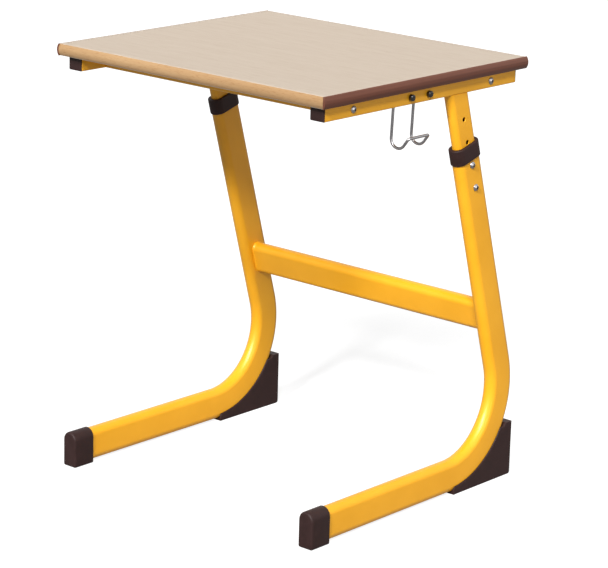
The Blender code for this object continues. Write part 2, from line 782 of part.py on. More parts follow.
def make_top(parts, cutters, parent, coats):
    middle = DESK_HEIGHT - TOP_THICKNESS / 2
    half_width = TOP_WIDTH / 2
    half_depth = TOP_DEPTH / 2
    half_core = CORE_THICKNESS / 2
    field = half_width - EDGE_STRIP_THICKNESS - FIT
    lip_back = half_depth - LIPPING_DEPTH
    board_depth = 2 * (lip_back - FIT)

    core = block((2 * field, board_depth, CORE_THICKNESS - 2 * FIT), (0, 0, middle), "top_core")
    pilots = [
        cylinder(
            WOOD_SCREW_RADIUS + FIT,
            WOOD_SCREW_GRIP + FIT + CUT_OVERRUN,
            Matrix.Translation((x, y, TOP_UNDERSIDE - CUT_OVERRUN)),
            "pilot",
        )
        for x, y in top_screw_places()
    ]
    core = bored(core, pilots, cutters)
    add_object("top_core", core, parts, parent, coats["board"])

    face = TOP_THICKNESS / 2
    laminate = make_sheet("top_laminate", half_core, face, 2 * field)
    add_object("top_laminate", laminate, parts, parent, coats["laminate"])
    backing = make_sheet("top_backing_sheet", -half_core, -face, 2 * field)
    ways = [
        cylinder(
            WOOD_SCREW_RADIUS + FIT,
            LAMINATE_THICKNESS + 2 * CUT_OVERRUN,
            Matrix.Translation((x, y, TOP_UNDERSIDE - CUT_OVERRUN)),
            "way",
        )
        for x, y in top_screw_places()
    ]
    backing = bored(backing, ways, cutters)
    add_object("top_backing_sheet", backing, parts, parent, coats["laminate"])

    half_lip = half_core - FIT
    for name, turn in (("front_beech_lipping", math.pi), ("rear_beech_lipping", 0)):
        outline = [(lip_back, half_lip), (lip_back, -half_lip)]
        outline += swelled_edge(half_depth, half_lip)
        place = Matrix.Rotation(turn, 4, "Z") @ along_x(-field, 0, middle)
        mesh = prism(outline, 2 * field, place, name)
        add_object(name, mesh, parts, parent, coats["beech"])

    for side, name in ((-1, "left_edge_strip"), (1, "right_edge_strip")):
        inner = half_width - EDGE_STRIP_THICKNESS
        outline = [(side * inner, -face)]
        outline += [(side * x, z) for x, z in swelled_edge(half_width, face)]
        outline += [(side * inner, face)]
        mesh = prism(outline, TOP_DEPTH, along_y(0, -half_depth, middle), name)
        add_object(name, mesh, parts, parent, coats["brown"])


def top_screw_places():
    places = [side_screw_place(side) for side, _ in SIDES]
    return places + cross_screw_places(-CROSS_RAIL_Y) + cross_screw_places(CROSS_RAIL_Y)


# Bag hook

def hook_path():
    """Eye, leg, crook and half the tip bar as points from the hook's middle plane, for
    the half at -Y."""
    bolt_y = -HOOK_BOLT_SPACING / 2
    leg_y = bolt_y - HOOK_NECK_RADIUS
    eye_bottom = RAIL_MIDDLE - HOOK_EYE_RADIUS
    ring = arc(
        (bolt_y, RAIL_MIDDLE), HOOK_EYE_RADIUS, math.radians(190), -math.radians(280), ROUND_STEPS
    )
    neck = arc(
        (bolt_y, eye_bottom - HOOK_NECK_RADIUS),
        HOOK_NECK_RADIUS,
        math.pi / 2,
        math.pi / 2,
        CORNER_STEPS,
    )
    points = [Vector((HOOK_X, y, z)) for y, z in ring + neck[1:]]
    low = RAIL_MIDDLE - HOOK_DROP
    crook_x = HOOK_X - HOOK_LEAN_IN + HOOK_CROOK_RADIUS
    crook = arc((crook_x, low), HOOK_CROOK_RADIUS, math.pi, HOOK_CROOK_TURN, ROUND_STEPS)
    points += [Vector((x, leg_y, z)) for x, z in crook]
    heading_angle = math.pi + HOOK_CROOK_TURN + math.pi / 2
    heading = Vector((math.cos(heading_angle), 0, math.sin(heading_angle)))
    tip = points[-1] + HOOK_TIP_RUN * heading
    for index in range(CORNER_STEPS + 1):
        angle = math.pi / 2 * index / CORNER_STEPS
        back = HOOK_TIP_RADIUS * (1 - math.sin(angle))
        aside = HOOK_TIP_RADIUS * (1 - math.cos(angle))
        points.append(tip - heading * back + Vector((0, aside, 0)))
    return points


def make_hook(parts, cutters, parent, coat):
    half = hook_path()
    other = [Vector((point.x, -point.y, point.z)) for point in reversed(half)]
    path = half + other
    curve = bpy.data.curves.new("bag_hook", "CURVE")
    curve.dimensions = "3D"
    curve.bevel_depth = HOOK_WIRE_RADIUS
    curve.bevel_resolution = 2
    curve.use_fill_caps = True
    line = curve.splines.new("POLY")
    line.points.add(len(path) - 1)
    for point, place in zip(line.points, path):
        point.co = (place.x, place.y + HOOK_CENTRE_Y, place.z, 1)
    guide = add_object("hook_guide", curve, cutters)
    mesh = baked(guide)
    bm = bmesh.new()
    bm.from_mesh(mesh)
    bmesh.ops.remove_doubles(bm, verts=bm.verts, dist=FIT / ROUND_STEPS)
    bmesh.ops.recalc_face_normals(bm, faces=bm.faces)
    return add_object("bag_hook", mesh_from(bm, "bag_hook"), parts, parent, coat)


# Fasteners

def button_screw(shank, recess, name, cutters):
    """A button-head screw along local Z: the head's seat at zero, the shank below."""
    crown = BOLT_HEAD_HEIGHT
    profile = [
        (0, crown),
        (BOLT_HEAD_RADIUS / 2, crown - crown / 10),
        (BOLT_HEAD_RADIUS * math.cos(math.pi / 6), crown / 2),
        (BOLT_HEAD_RADIUS, crown / 6),
        (BOLT_HEAD_RADIUS, FIT),
        (BOLT_RADIUS, FIT),
        (BOLT_RADIUS, -shank + BOLT_RADIUS / 3),
        (BOLT_RADIUS * 2 / 3, -shank),
        (0, -shank),
    ]
    return combine(turned(profile, name, cutters), recess, "DIFFERENCE", cutters)


def hex_recess():
    place = Matrix.Translation((0, 0, BOLT_HEAD_HEIGHT - SOCKET_DEPTH))
    return cylinder(SOCKET_RADIUS, SOCKET_DEPTH + CUT_OVERRUN, place, "hex_recess", 6)


def cross_recess(cutters):
    depth = SOCKET_DEPTH + CUT_OVERRUN
    centre = (0, 0, BOLT_HEAD_HEIGHT - SOCKET_DEPTH + depth / 2)
    one = block((CROSS_RECESS_LENGTH, CROSS_RECESS_WIDTH, depth), centre, "slot")
    other = block((CROSS_RECESS_WIDTH, CROSS_RECESS_LENGTH, depth), centre, "cross_slot")
    return combine(one, other, "UNION", cutters)


def make_cross_rail_bolts(parts, cutters, parent, coat):
    base = button_screw(RAIL_WIDTH + END_INSERT_DEPTH, hex_recess(), "bolt", cutters)
    places = [
        (
            f"{where}_{hand}_rail_bolt",
            Matrix.Translation((side * RAIL_OUTER_X, y, RAIL_MIDDLE))
            @ Matrix.Rotation(side * math.pi / 2, 4, "Y"),
        )
        for side, hand in SIDES
        for where, y in CROSS_RAILS
    ]
    place_each(shade(base), places, parts, parent, coat)


def lock_places(piece):
    """Places on the outer sides of both legs, with local Z out of the tube."""
    return [
        (f"{hand}_{height}_{piece}", out_of_post(side, distance, LEG_WIDTH / 2))
        for side, hand in SIDES
        for height, distance in (("upper", LOCK_UPPER), ("lower", LOCK_LOWER))
    ]


def make_lock_screws(parts, cutters, parent, coat):
    """Their tips stop a clearance short of the inner posts."""
    gap = (LEG_WIDTH - POST_WIDTH) / 2 - LEG_WALL
    base = button_screw(LEG_WALL + gap - FIT, cross_recess(cutters), "lock_screw", cutters)
    place_each(shade(base), lock_places("lock_screw"), parts, parent, coat)


def make_lock_inserts(parts, cutters, parent, coat):
    """Flanged thread inserts set in the leg walls from inside."""
    inner = -LEG_WALL
    bore = BOLT_RADIUS + FIT
    profile = [
        (bore, -FIT),
        (LOCK_INSERT_RADIUS, -FIT),
        (LOCK_INSERT_RADIUS, inner - FIT),
        (LOCK_INSERT_FLANGE_RADIUS, inner - FIT),
        (LOCK_INSERT_FLANGE_RADIUS, inner - FIT - LOCK_INSERT_FLANGE),
        (bore, inner - FIT - LOCK_INSERT_FLANGE),
        (bore, -FIT),
    ]
    base = turned(profile, "lock_insert", cutters)
    place_each(shade(base), lock_places("thread_insert"), parts, parent, coat)


def hook_bolt_places():
    return [
        (where, HOOK_CENTRE_Y + sign * HOOK_BOLT_SPACING / 2)
        for where, sign in (("front", -1), ("rear", 1))
    ]


def make_hook_bolts(parts, cutters, parent, coat):
    stack = RAIL_WIDTH + 2 * HOOK_WIRE_RADIUS + WASHER_THICKNESS + NUT_HEIGHT + 3 * FIT
    profile = [
        (0, CAP_HEAD_HEIGHT),
        (CAP_HEAD_RADIUS / 2, CAP_HEAD_HEIGHT),
        (CAP_HEAD_RADIUS * math.cos(math.pi / 6), CAP_HEAD_HEIGHT * 5 / 6),
        (CAP_HEAD_RADIUS, CAP_HEAD_HEIGHT / 2),
        (CAP_HEAD_RADIUS, FIT),
        (BOLT_RADIUS, FIT),
        (BOLT_RADIUS, -stack - BOLT_RADIUS),
        (0, -stack - BOLT_RADIUS),
    ]
    base = turned(profile, "hook_bolt", cutters)
    places = [
        (
            f"{where}_hook_bolt",
            Matrix.Translation((RAIL_OUTER_X, y, RAIL_MIDDLE))
            @ Matrix.Rotation(math.pi / 2, 4, "Y"),
        )
        for where, y in hook_bolt_places()
    ]
    place_each(shade(base), places, parts, parent, coat)


def make_hook_nuts(parts, cutters, parent, coats):
    washer_x = HOOK_X - HOOK_WIRE_RADIUS - FIT
    nut_x = washer_x - WASHER_THICKNESS - FIT
    for name, radius, height, start, steps in (
        ("hook_washer", WASHER_RADIUS, WASHER_THICKNESS, washer_x, ROUND_STEPS),
        ("hook_nut", NUT_RADIUS, NUT_HEIGHT, nut_x, 6),
    ):
        places = [
            (f"{where}_{name}", along_x(start - height, y, RAIL_MIDDLE))
            for where, y in hook_bolt_places()
        ]
        base = cylinder(radius, height, Matrix(), name, steps)
        bore = cylinder(
            BOLT_RADIUS + FIT,
            height + 2 * CUT_OVERRUN,
            Matrix.Translation((0, 0, -CUT_OVERRUN)),
            "bore",
        )
        base = combine(base, bore, "DIFFERENCE", cutters)
        place_each(shade(base), places, parts, parent, coats["zinc"])


def wood_screw(length, name, cutters):
    """A pan-head screw along local Z: the head's seat at zero and the point upwards."""
    profile = [
        (0, length),
        (WOOD_SCREW_RADIUS, length - POINT_LENGTH),
        (WOOD_SCREW_RADIUS, -FIT),
        (WOOD_SCREW_HEAD_RADIUS, -FIT),
        (WOOD_SCREW_HEAD_RADIUS, -WOOD_SCREW_HEAD_HEIGHT / 2),
        (WOOD_SCREW_HEAD_RADIUS / 2, -WOOD_SCREW_HEAD_HEIGHT),
        (0, -WOOD_SCREW_HEAD_HEIGHT),
    ]
    return turned(profile, name, cutters)


def make_top_screws(parts, cutters, parent, coat):
    length = RAIL_HEIGHT + FIT + WOOD_SCREW_GRIP
    base = wood_screw(length, "top_screw", cutters)
    places = [
        (f"top_screw_{number}", Matrix.Translation((x, y, RAIL_BOTTOM)))
        for number, (x, y) in enumerate(top_screw_places(), start=1)
    ]
    place_each(shade(base), places, parts, parent, coat)


def make_wedge_screws(parts, cutters, parent, coat):
    tube_underside = BEND_CENTRE_Z - math.sqrt(
        (LEG_BEND_RADIUS + LEG_DEPTH / 2) ** 2 - (wedge_screw_y() - BEND_CENTRE_Y) ** 2
    )
    length = tube_underside - WEDGE_SCREW_RECESS + WEDGE_SCREW_LENGTH
    base = wood_screw(length, "wedge_screw", cutters)
    places = [
        (
            f"{hand}_wedge_screw",
            Matrix.Translation((side * POST_X, wedge_screw_y(), WEDGE_SCREW_RECESS)),
        )
        for side, hand in SIDES
    ]
    place_each(shade(base), places, parts, parent, coat)


# Assembly

def empty(name, location, collection, parent=None):
    made = bpy.data.objects.new(name, None)
    collection.objects.link(made)
    made.location = location
    if parent:
        made.parent = parent
    bpy.context.view_layer.update()
    return made


def main():
    clear_scene()
    coats = make_materials()
    parts = new_collection("school_desk")
    cutters = new_collection("cutters")
    cutters.hide_render = True

    base = empty("leg_frame", (0, 0, 0), parts)
    axis = on_post(1, LEG_POST_LENGTH).translation
    upper = empty("height_slide", (0, axis.y, axis.z), parts, base)

    for side, hand in SIDES:
        make_leg(side, hand + "_leg", parts, cutters, base, coats["yellow"])
        make_collar(side, hand + "_guide_collar", parts, cutters, base, coats["black"])
        make_foot_cap(side, hand + "_foot_cap", parts, cutters, base, coats["black"])
        make_wedge(side, hand + "_rear_wedge", parts, cutters, base, coats["black"])
        make_side_rail(side, hand + "_side_rail", parts, cutters, upper, coats["yellow"])
        make_inner_post(side, hand + "_inner_post", parts, cutters, upper, coats["yellow"])
    make_crossbar(parts, cutters, base, coats["yellow"])
    make_lock_screws(parts, cutters, base, coats["zinc"])
    make_lock_inserts(parts, cutters, base, coats["zinc"])
    make_wedge_screws(parts, cutters, base, coats["zinc"])

    for where, y in CROSS_RAILS:
        make_cross_rail(y, where + "_cross_rail", parts, cutters, upper, coats["yellow"])
    make_end_inserts(parts, cutters, upper, coats["zinc"])
    make_cross_rail_bolts(parts, cutters, upper, coats["zinc"])
    make_rail_plugs(parts, cutters, upper, coats["black"])
    make_glide_plugs(parts, cutters, upper, coats["black"])
    make_top(parts, cutters, upper, coats)
    make_top_screws(parts, cutters, upper, coats["zinc"])
    make_hook(parts, cutters, upper, coats["zinc"])
    make_hook_bolts(parts, cutters, upper, coats["dark_steel"])
    make_hook_nuts(parts, cutters, upper, coats)

    base.location.y = -ORIGIN_SHIFT_Y


main()
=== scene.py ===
import math

import bmesh
import bpy
import numpy as np
from mathutils import Matrix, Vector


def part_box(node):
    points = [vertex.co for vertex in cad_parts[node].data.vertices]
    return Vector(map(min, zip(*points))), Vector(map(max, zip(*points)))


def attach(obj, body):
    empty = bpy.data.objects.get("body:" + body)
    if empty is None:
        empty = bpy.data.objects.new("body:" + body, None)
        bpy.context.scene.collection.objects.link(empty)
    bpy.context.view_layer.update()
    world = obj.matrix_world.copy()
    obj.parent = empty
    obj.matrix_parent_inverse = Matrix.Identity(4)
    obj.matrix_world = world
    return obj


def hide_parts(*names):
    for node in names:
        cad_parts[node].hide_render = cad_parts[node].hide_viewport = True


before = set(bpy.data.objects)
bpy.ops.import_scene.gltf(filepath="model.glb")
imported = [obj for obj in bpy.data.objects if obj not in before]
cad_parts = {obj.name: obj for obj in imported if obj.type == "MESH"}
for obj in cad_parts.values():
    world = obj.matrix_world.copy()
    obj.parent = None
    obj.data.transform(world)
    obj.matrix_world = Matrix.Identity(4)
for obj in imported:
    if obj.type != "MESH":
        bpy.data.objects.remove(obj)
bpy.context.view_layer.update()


# Camera
# A long lens a little to the desk's right and above it, with the frame moved slightly
# sideways and down as in the photograph's own crop.
image_width = 608
focal_pixels = 2571.04
shift_across, shift_up = -40, -30
camera_at = (2.86457, -3.24779, 1.56027)
view_azimuth, view_elevation, view_roll = (math.radians(a) for a in (40.1866, 14.9891, 1.8016))
camera_data = bpy.data.cameras.new("camera")
camera_data.lens = focal_pixels / image_width * camera_data.sensor_width
camera_data.shift_x = shift_across / image_width
camera_data.shift_y = shift_up / image_width
camera_data.clip_end = 60
camera = bpy.data.objects.new("camera", camera_data)
bpy.context.scene.collection.objects.link(camera)
back = np.array([
    math.sin(view_azimuth) * math.cos(view_elevation),
    -math.cos(view_azimuth) * math.cos(view_elevation),
    math.sin(view_elevation),
])
right = np.array([math.cos(view_azimuth), math.sin(view_azimuth), 0])
up = np.cross(back, right)
turned_right = math.cos(view_roll) * right + math.sin(view_roll) * up
turned_up = -math.sin(view_roll) * right + math.cos(view_roll) * up
camera_place = np.eye(4)
camera_place[:3, :3] = np.array([turned_right, turned_up, back]).T
camera_place[:3, 3] = camera_at
camera.matrix_world = Matrix(camera_place.tolist())
bpy.context.scene.camera = camera


# Legs
# Each leg is one flat-oval steel tube, 59 x 26 mm with a 1.5 mm wall, bent in a press
# from the foot into the leaned post, and powder coated in warm yellow.
post_x = 0.279
post_lean = math.radians(16.5)
leg_width, leg_depth, leg_wall = 0.026, 0.059, 0.0015
leg_flat = (leg_depth - leg_width) / 2
bend_radius = 0.141
leg_post_length = 0.61491
foot_height, foot_length = 0.0325, 0.5505
bend_middle = np.array([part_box("right_rear_wedge")[1].y - bend_radius - leg_depth / 2,
                        foot_height + bend_radius])
post_foot = np.array([bend_middle[0] + bend_radius * math.tan((math.pi / 2 + post_lean) / 2),
                      foot_height])
toe_y = post_foot[0] - foot_length
hands = (("left", -1), ("right", 1))


def join_nodes(material, *links):
    """Each link is (from node, its output, to node, its input)."""
    for source, output, target, value in links:
        material.node_tree.links.new(source.outputs[output], target.inputs[value])


def blank_finish(name, colour, roughness, metallic=0.0, coat=0.0):
    """A Principled material with plain values; returns it, its nodes' maker and shader."""
    material = bpy.data.materials.new(name)
    material.use_nodes = True
    shader = material.node_tree.nodes["Principled BSDF"]
    shader.inputs["Base Color"].default_value = (*colour, 1)
    shader.inputs["Roughness"].default_value = roughness
    shader.inputs["Metallic"].default_value = metallic
    shader.inputs["Coat Weight"].default_value = coat
    shader.inputs["Coat Roughness"].default_value = 0.12
    return material, material.node_tree.nodes.new, shader


def grainy(material, make, stretch, scale, detail=3.0, roughness=0.55):
    """Noise on Object coordinates, with each axis stretched by its factor."""
    place = make("ShaderNodeTexCoord")
    mapping = make("ShaderNodeMapping")
    mapping.inputs["Scale"].default_value = stretch
    noise = make("ShaderNodeTexNoise")
    noise.inputs["Scale"].default_value = scale
    noise.inputs["Detail"].default_value = detail
    noise.inputs["Roughness"].default_value = roughness
    join_nodes(material, (place, "Object", mapping, "Vector"), (mapping, 0, noise, "Vector"))
    return noise


def colour_ramp(material, make, source, *stops):
    """Colours along the source's value, given as (value, colour) stops."""
    ramp = make("ShaderNodeValToRGB")
    while len(ramp.color_ramp.elements) < len(stops):
        ramp.color_ramp.elements.new(0.5)
    for element, (value, colour) in zip(ramp.color_ramp.elements, stops):
        element.position = value
        element.color = (*colour, 1)
    join_nodes(material, (source, "Fac", ramp, "Fac"))
    return ramp


def two_tones(material, make, source, low, high, shader):
    """Base colour that follows the source's value from the low colour to the high one."""
    ramp = colour_ramp(material, make, source, (0.3, low), (0.7, high))
    join_nodes(material, (ramp, "Color", shader, "Base Color"))


def roughness_range(material, make, source, low, high, shader):
    """Roughness that follows the source's value from low to high."""
    spread = make("ShaderNodeMapRange")
    spread.inputs["From Min"].default_value = 0.3
    spread.inputs["From Max"].default_value = 0.7
    spread.inputs["To Min"].default_value = low
    spread.inputs["To Max"].default_value = high
    join_nodes(material, (source, "Fac", spread, "Value"), (spread, 0, shader, "Roughness"))


def relief(material, make, source, depth, shader, strength=1.0):
    """Bumps as high as depth, in metres, from the source's value."""
    bump = make("ShaderNodeBump")
    bump.inputs["Distance"].default_value = depth
    bump.inputs["Strength"].default_value = strength
    join_nodes(material, (source, "Fac", bump, "Height"), (bump, 0, shader, "Normal"))


def powder_coat():
    """Glossy powder coat: a fine orange peel, and slight changes of tone over the tube."""
    material, make, shader = blank_finish("yellow_coat", (0.92, 0.42, 0.008), 0.44, coat=0.35)
    tone = grainy(material, make, (1, 1, 1), 14, 2)
    peel = grainy(material, make, (1, 1, 1), 420, 1.5)
    two_tones(material, make, tone, (0.89, 0.40, 0.005), (0.95, 0.44, 0.011), shader)
    roughness_range(material, make, tone, 0.41, 0.47, shader)
    shader.inputs["Specular IOR Level"].default_value = 0.9
    shader.inputs["Coat Roughness"].default_value = 0.3
    shader.inputs["Specular Tint"].default_value = (1.0, 0.83, 0.45, 1)
    relief(material, make, peel, 0.00012, shader, 0.5)
    return material


yellow_coat = powder_coat()


def oval_frame(count):
    """Directions round a flat oval and the end that each belongs to: half a turn about
    one end's centre, then half a turn about the other's."""
    half = np.linspace(0, math.pi, count // 2)
    angle = np.concatenate([half, half + math.pi])
    end = np.repeat([1.0, -1.0], count // 2)
    return np.stack([np.cos(angle), np.sin(angle)], 1), end


def oval_points(width, depth, count=64):
    """A flat oval: the end's centre on the long axis plus the radius times direction."""
    direction, end = oval_frame(count)
    points = direction * width / 2
    points[:, 1] += end * (depth - width) / 2
    return points


def along_path(outline, middle, across, deep):
    """A surface that carries an outline along a path: each point is the path's point
    plus the outline's first number along across and its second along deep."""
    return (middle[:, None]
            + outline[None, :, :1] * across[:, None]
            + outline[None, :, 1:] * deep[:, None])


def ends_closed(surface):
    """The surface with each end row drawn together to its middle, which closes it."""
    first = np.broadcast_to(surface[:1].mean(1, keepdims=True), surface[:1].shape)
    last = np.broadcast_to(surface[-1:].mean(1, keepdims=True), surface[-1:].shape)
    return np.concatenate([first, surface, last])


def skin(surface, round_rows=False, round_columns=True):
    """Points and four-cornered faces of a grid of points, closed round on itself along
    its rows, its columns or both."""
    rows, columns = surface.shape[:2]
    row = np.arange(rows if round_rows else rows - 1)
    column = np.arange(columns if round_columns else columns - 1)
    row, column = (a.ravel() for a in np.meshgrid(row, column, indexing="ij"))
    next_row, next_column = (row + 1) % rows, (column + 1) % columns
    faces = np.stack([row * columns + column, row * columns + next_column,
                      next_row * columns + next_column, next_row * columns + column], 1)
    return surface.reshape(-1, 3), faces


def make_piece(name, skins, finish, body, cad, sharp=40, wall=0.0):
    """One mesh from several skins, in place of the named CAD nodes: their seams merged, its
    faces turned outwards and its shading smooth but for edges sharper than the given angle;
    a wall makes it a shell."""
    points = np.concatenate([s[0] for s in skins])
    starts = np.cumsum([0] + [len(s[0]) for s in skins[:-1]])
    faces = np.concatenate([s[1] + start for s, start in zip(skins, starts)])
    mesh = bpy.data.meshes.new(name)
    mesh.from_pydata(points.tolist(), [], faces.tolist())
    form = bmesh.new()
    form.from_mesh(mesh)
    bmesh.ops.remove_doubles(form, verts=form.verts, dist=2e-6)
    bmesh.ops.recalc_face_normals(form, faces=form.faces)
    form.to_mesh(mesh)
    form.free()
    mesh.shade_smooth()
    mesh.set_sharp_from_angle(angle=math.radians(sharp))
    piece = bpy.data.objects.new(name, mesh)
    bpy.context.scene.collection.objects.link(piece)
    mesh.materials.append(finish)
    if wall:
        shell = piece.modifiers.new("wall", "SOLIDIFY")
        shell.thickness = wall
        shell.offset = -1
    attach(piece, body)
    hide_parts(*cad)


def on_post(side, length, across=0.0, deep=0.0):
    """Points on a leg's leaned axis: up it by length, out to the side by across and to
    the rear by deep."""
    length, across, deep = np.broadcast_arrays(length, across, deep)
    return np.stack([
        side * (post_x + across),
        post_foot[0] - length * math.sin(post_lean) + deep * math.cos(post_lean),
        post_foot[1] + length * math.cos(post_lean) + deep * math.sin(post_lean),
    ], -1)


# A row lies 0.6 mm inside each cut end of a tube, so that the flat walls shade evenly.
end_row = 0.0006
bend_angle = np.concatenate([[-math.pi / 2] * 2, np.linspace(-math.pi / 2, post_lean, 73),
                             [post_lean] * 2])
outward = np.stack([0 * bend_angle, np.cos(bend_angle), np.sin(bend_angle)], 1)
for hand, side in hands:
    middle = outward * bend_radius + np.array([side * post_x, *bend_middle])
    middle[:2] = [(side * post_x, toe_y, foot_height),
                  (side * post_x, toe_y + end_row, foot_height)]
    middle[-2:] = on_post(side, np.array([leg_post_length - end_row, leg_post_length]))
    sideways = np.tile([1.0, 0, 0], (len(middle), 1))
    tube = along_path(oval_points(leg_width, leg_depth), middle, sideways, outward)
    make_piece(f"{hand}_leg_tube", [skin(tube)], yellow_coat, "leg_frame",
               [f"{hand}_leg"], wall=leg_wall)


# Crossbar
# A flat-oval tube, 60 x 25 mm, that keeps the legs apart. It leans as the posts do, and
# a low weld bead joins each end to the flat inner side of a leg.
bar_width, bar_depth, bar_height = 0.025, 0.060, 0.281
bead_height, bead_reach, weld_gap = 0.0014, 0.0055, 0.0001
bar_half = post_x - leg_width / 2 - weld_gap
bar_x = np.concatenate([-bar_half + bead_reach * np.linspace(0, 1, 9),
                        bar_half - bead_reach * np.linspace(1, 0, 9)])
from_end = np.minimum(1, (bar_half - np.abs(bar_x)) / bead_reach)
bead = bead_height * (1 + np.cos(math.pi * from_end)) / 2
bar_direction, bar_end = oval_frame(64)
bar_ring = (bar_direction[None] * (bar_width / 2 + bead)[:, None, None]
            + np.stack([0 * bar_end, bar_end * (bar_depth - bar_width) / 2], 1)[None])
bar_middle = on_post(1, bar_height)
bar_across = np.array([0, math.cos(post_lean), math.sin(post_lean)])
bar_up = np.array([0, -math.sin(post_lean), math.cos(post_lean)])
bar_path = np.tile(bar_middle, (len(bar_x), 1))
bar_path[:, 0] = bar_x
bar_surface = (bar_path[:, None]
               + bar_ring[..., :1] * bar_across + bar_ring[..., 1:] * bar_up)
make_piece("crossbar_tube", [skin(bar_surface)], yellow_coat, "leg_frame",
           ["crossbar"], wall=leg_wall)


# Guide collars
# A collar moulded in black plastic grips the end of each leg tube and guides the inner
# post. It has a skirt outside the tube, a rounded lip over its end and a sleeve inside.
collar_bottom, collar_top = leg_post_length - 0.0265, leg_post_length + 0.0025


def moulded_black():
    """Black-brown moulded plastic: a fine spark-eroded grain with a satin sheen."""
    material, make, shader = blank_finish("black_plastic", (0.026, 0.011, 0.010), 0.55)
    tone = grainy(material, make, (1, 1, 1), 60, 3)
    grain = grainy(material, make, (1, 1, 1), 1500, 2)
    two_tones(material, make, tone, (0.022, 0.009, 0.008), (0.030, 0.013, 0.012), shader)
    roughness_range(material, make, tone, 0.5, 0.6, shader)
    relief(material, make, grain, 0.00005, shader, 0.6)
    shader.inputs["Specular IOR Level"].default_value = 0.25
    return material


black_plastic = moulded_black()


def eased(points, reach, steps=6):
    """A closed line with its corners eased: at each corner a quadratic curve runs from
    the given reach before it to the same reach after it."""
    points = np.asarray(points, float)
    reach = np.broadcast_to(np.asarray(reach, float), len(points))[:, None]
    before, after = np.roll(points, 1, 0) - points, np.roll(points, -1, 0) - points
    start = points + before / np.linalg.norm(before, axis=1, keepdims=True) * reach
    stop = points + after / np.linalg.norm(after, axis=1, keepdims=True) * reach
    t = np.linspace(0, 1, steps)[None, :, None]
    curve = ((1 - t) ** 2 * start[:, None] + 2 * t * (1 - t) * points[:, None]
             + t ** 2 * stop[:, None])
    return curve.reshape(-1, points.shape[1])


def oval_turning(line, count=72):
    """A surface round a flat oval from a line of (end's distance from the middle, radius,
    height): across, deep and height of each point."""
    direction, end = oval_frame(count)
    across = line[:, 1, None] * direction[None, :, 0]
    deep = line[:, 1, None] * direction[None, :, 1] + line[:, 0, None] * end[None]
    return across, deep, np.broadcast_to(line[:, 2, None], across.shape)


inner_width, inner_depth, inner_wall = 0.020, 0.050, 0.0015
flat_half = (inner_depth - inner_width) / 2
skirt_inside, skirt_outside = 0.0132, 0.0155
sleeve_inside, sleeve_outside = 0.0102, 0.0112
over_tube = leg_post_length + 0.0003
collar_line = eased([
    (leg_flat, skirt_inside, collar_bottom), (leg_flat, skirt_outside, collar_bottom),
    (leg_flat, skirt_outside, collar_top), (flat_half, sleeve_inside, collar_top),
    (flat_half, sleeve_inside, collar_bottom), (leg_flat, sleeve_outside, collar_bottom),
    (leg_flat, sleeve_outside, over_tube), (leg_flat, skirt_inside, over_tube),
], [0.0004, 0.0014, 0.0022, 0.0006, 0.0002, 0.0002, 0.0002, 0.0002])
for hand, side in hands:
    across, deep, height = oval_turning(collar_line)
    make_piece(f"{hand}_collar_moulding", [skin(on_post(side, height, across, deep), True)],
               black_plastic, "leg_frame", [f"{hand}_guide_collar"])


# Foot caps
# A plastic shoe closes the front end of each foot tube. It has a round top like the
# tube, straight cheeks and a flat base that stands on the floor.
cap_radius, cap_top, cap_corner, cap_edge = 0.0153, 0.0643, 0.004, 0.0042
cap_front, cap_rear = toe_y - 0.0043, toe_y + 0.0407
cap_face_inset, cap_top_points, socket_radius = 0.0038, 33, 0.0133


def shoe_ring(inset):
    """The shoe's outline drawn in by the inset: a half round top, two small corners and
    a straight base, each round part with its radius less the inset."""
    top = np.linspace(0, math.pi, cap_top_points)
    left = np.linspace(math.pi, 1.5 * math.pi, 9)
    right = np.linspace(1.5 * math.pi, 2 * math.pi, 9)
    side_x = cap_radius - cap_corner
    base = np.linspace(-side_x, side_x, 12)[1:-1]
    small, large = cap_corner - inset, cap_radius - inset
    return np.concatenate([
        np.stack([large * np.cos(top), cap_top - cap_radius + large * np.sin(top)], 1),
        np.stack([-side_x + small * np.cos(left), cap_corner + small * np.sin(left)], 1),
        np.stack([base, np.full(len(base), inset)], 1),
        np.stack([side_x + small * np.cos(right), cap_corner + small * np.sin(right)], 1),
    ])


def socket_ring():
    """The tube's outline with as many points as the shoe's: those of the lower part lie
    at the same angle about the tube's lower centre."""
    shoe = shoe_ring(0)
    centre = np.where(np.arange(len(shoe)) < cap_top_points,
                      foot_height + leg_flat, foot_height - leg_flat)
    angle = np.arctan2(shoe[:, 1] - centre, shoe[:, 0])
    return np.stack([socket_radius * np.cos(angle), centre + socket_radius * np.sin(angle)], 1)


# From the face's middle over its rounded edge, along the cheeks, over the small rear
# edge, and back into the socket that the tube fills.
face_ring, face_bulge, socket_floor = shoe_ring(cap_face_inset), 0.0001, 0.004
cap_rings = [face_ring * 0.4 + 0.6 * face_ring.mean(0), face_ring]
cap_ys = [cap_front, cap_front + face_bulge]
for turn in np.linspace(0, math.pi / 2, 7)[1:]:
    cap_rings.append(shoe_ring(cap_face_inset * (1 - math.sin(turn))))
    cap_ys.append(cap_front + cap_edge * (1 - math.cos(turn)) + face_bulge)
for inset, y in ((0, cap_rear - 0.0007), (0.0002, cap_rear - 0.0002), (0.0007, cap_rear)):
    cap_rings.append(shoe_ring(inset))
    cap_ys.append(y)
cap_rings += [socket_ring(), socket_ring()]
cap_ys += [cap_rear, cap_front + socket_floor]
for hand, side in hands:
    cap_surface = np.stack([
        np.stack([side * post_x + ring[:, 0], np.full(len(ring), y), ring[:, 1]], 1)
        for ring, y in zip(cap_rings, cap_ys)
    ])
    make_piece(f"{hand}_foot_shoe", [skin(ends_closed(cap_surface))], black_plastic,
               "leg_frame", [f"{hand}_foot_cap"])


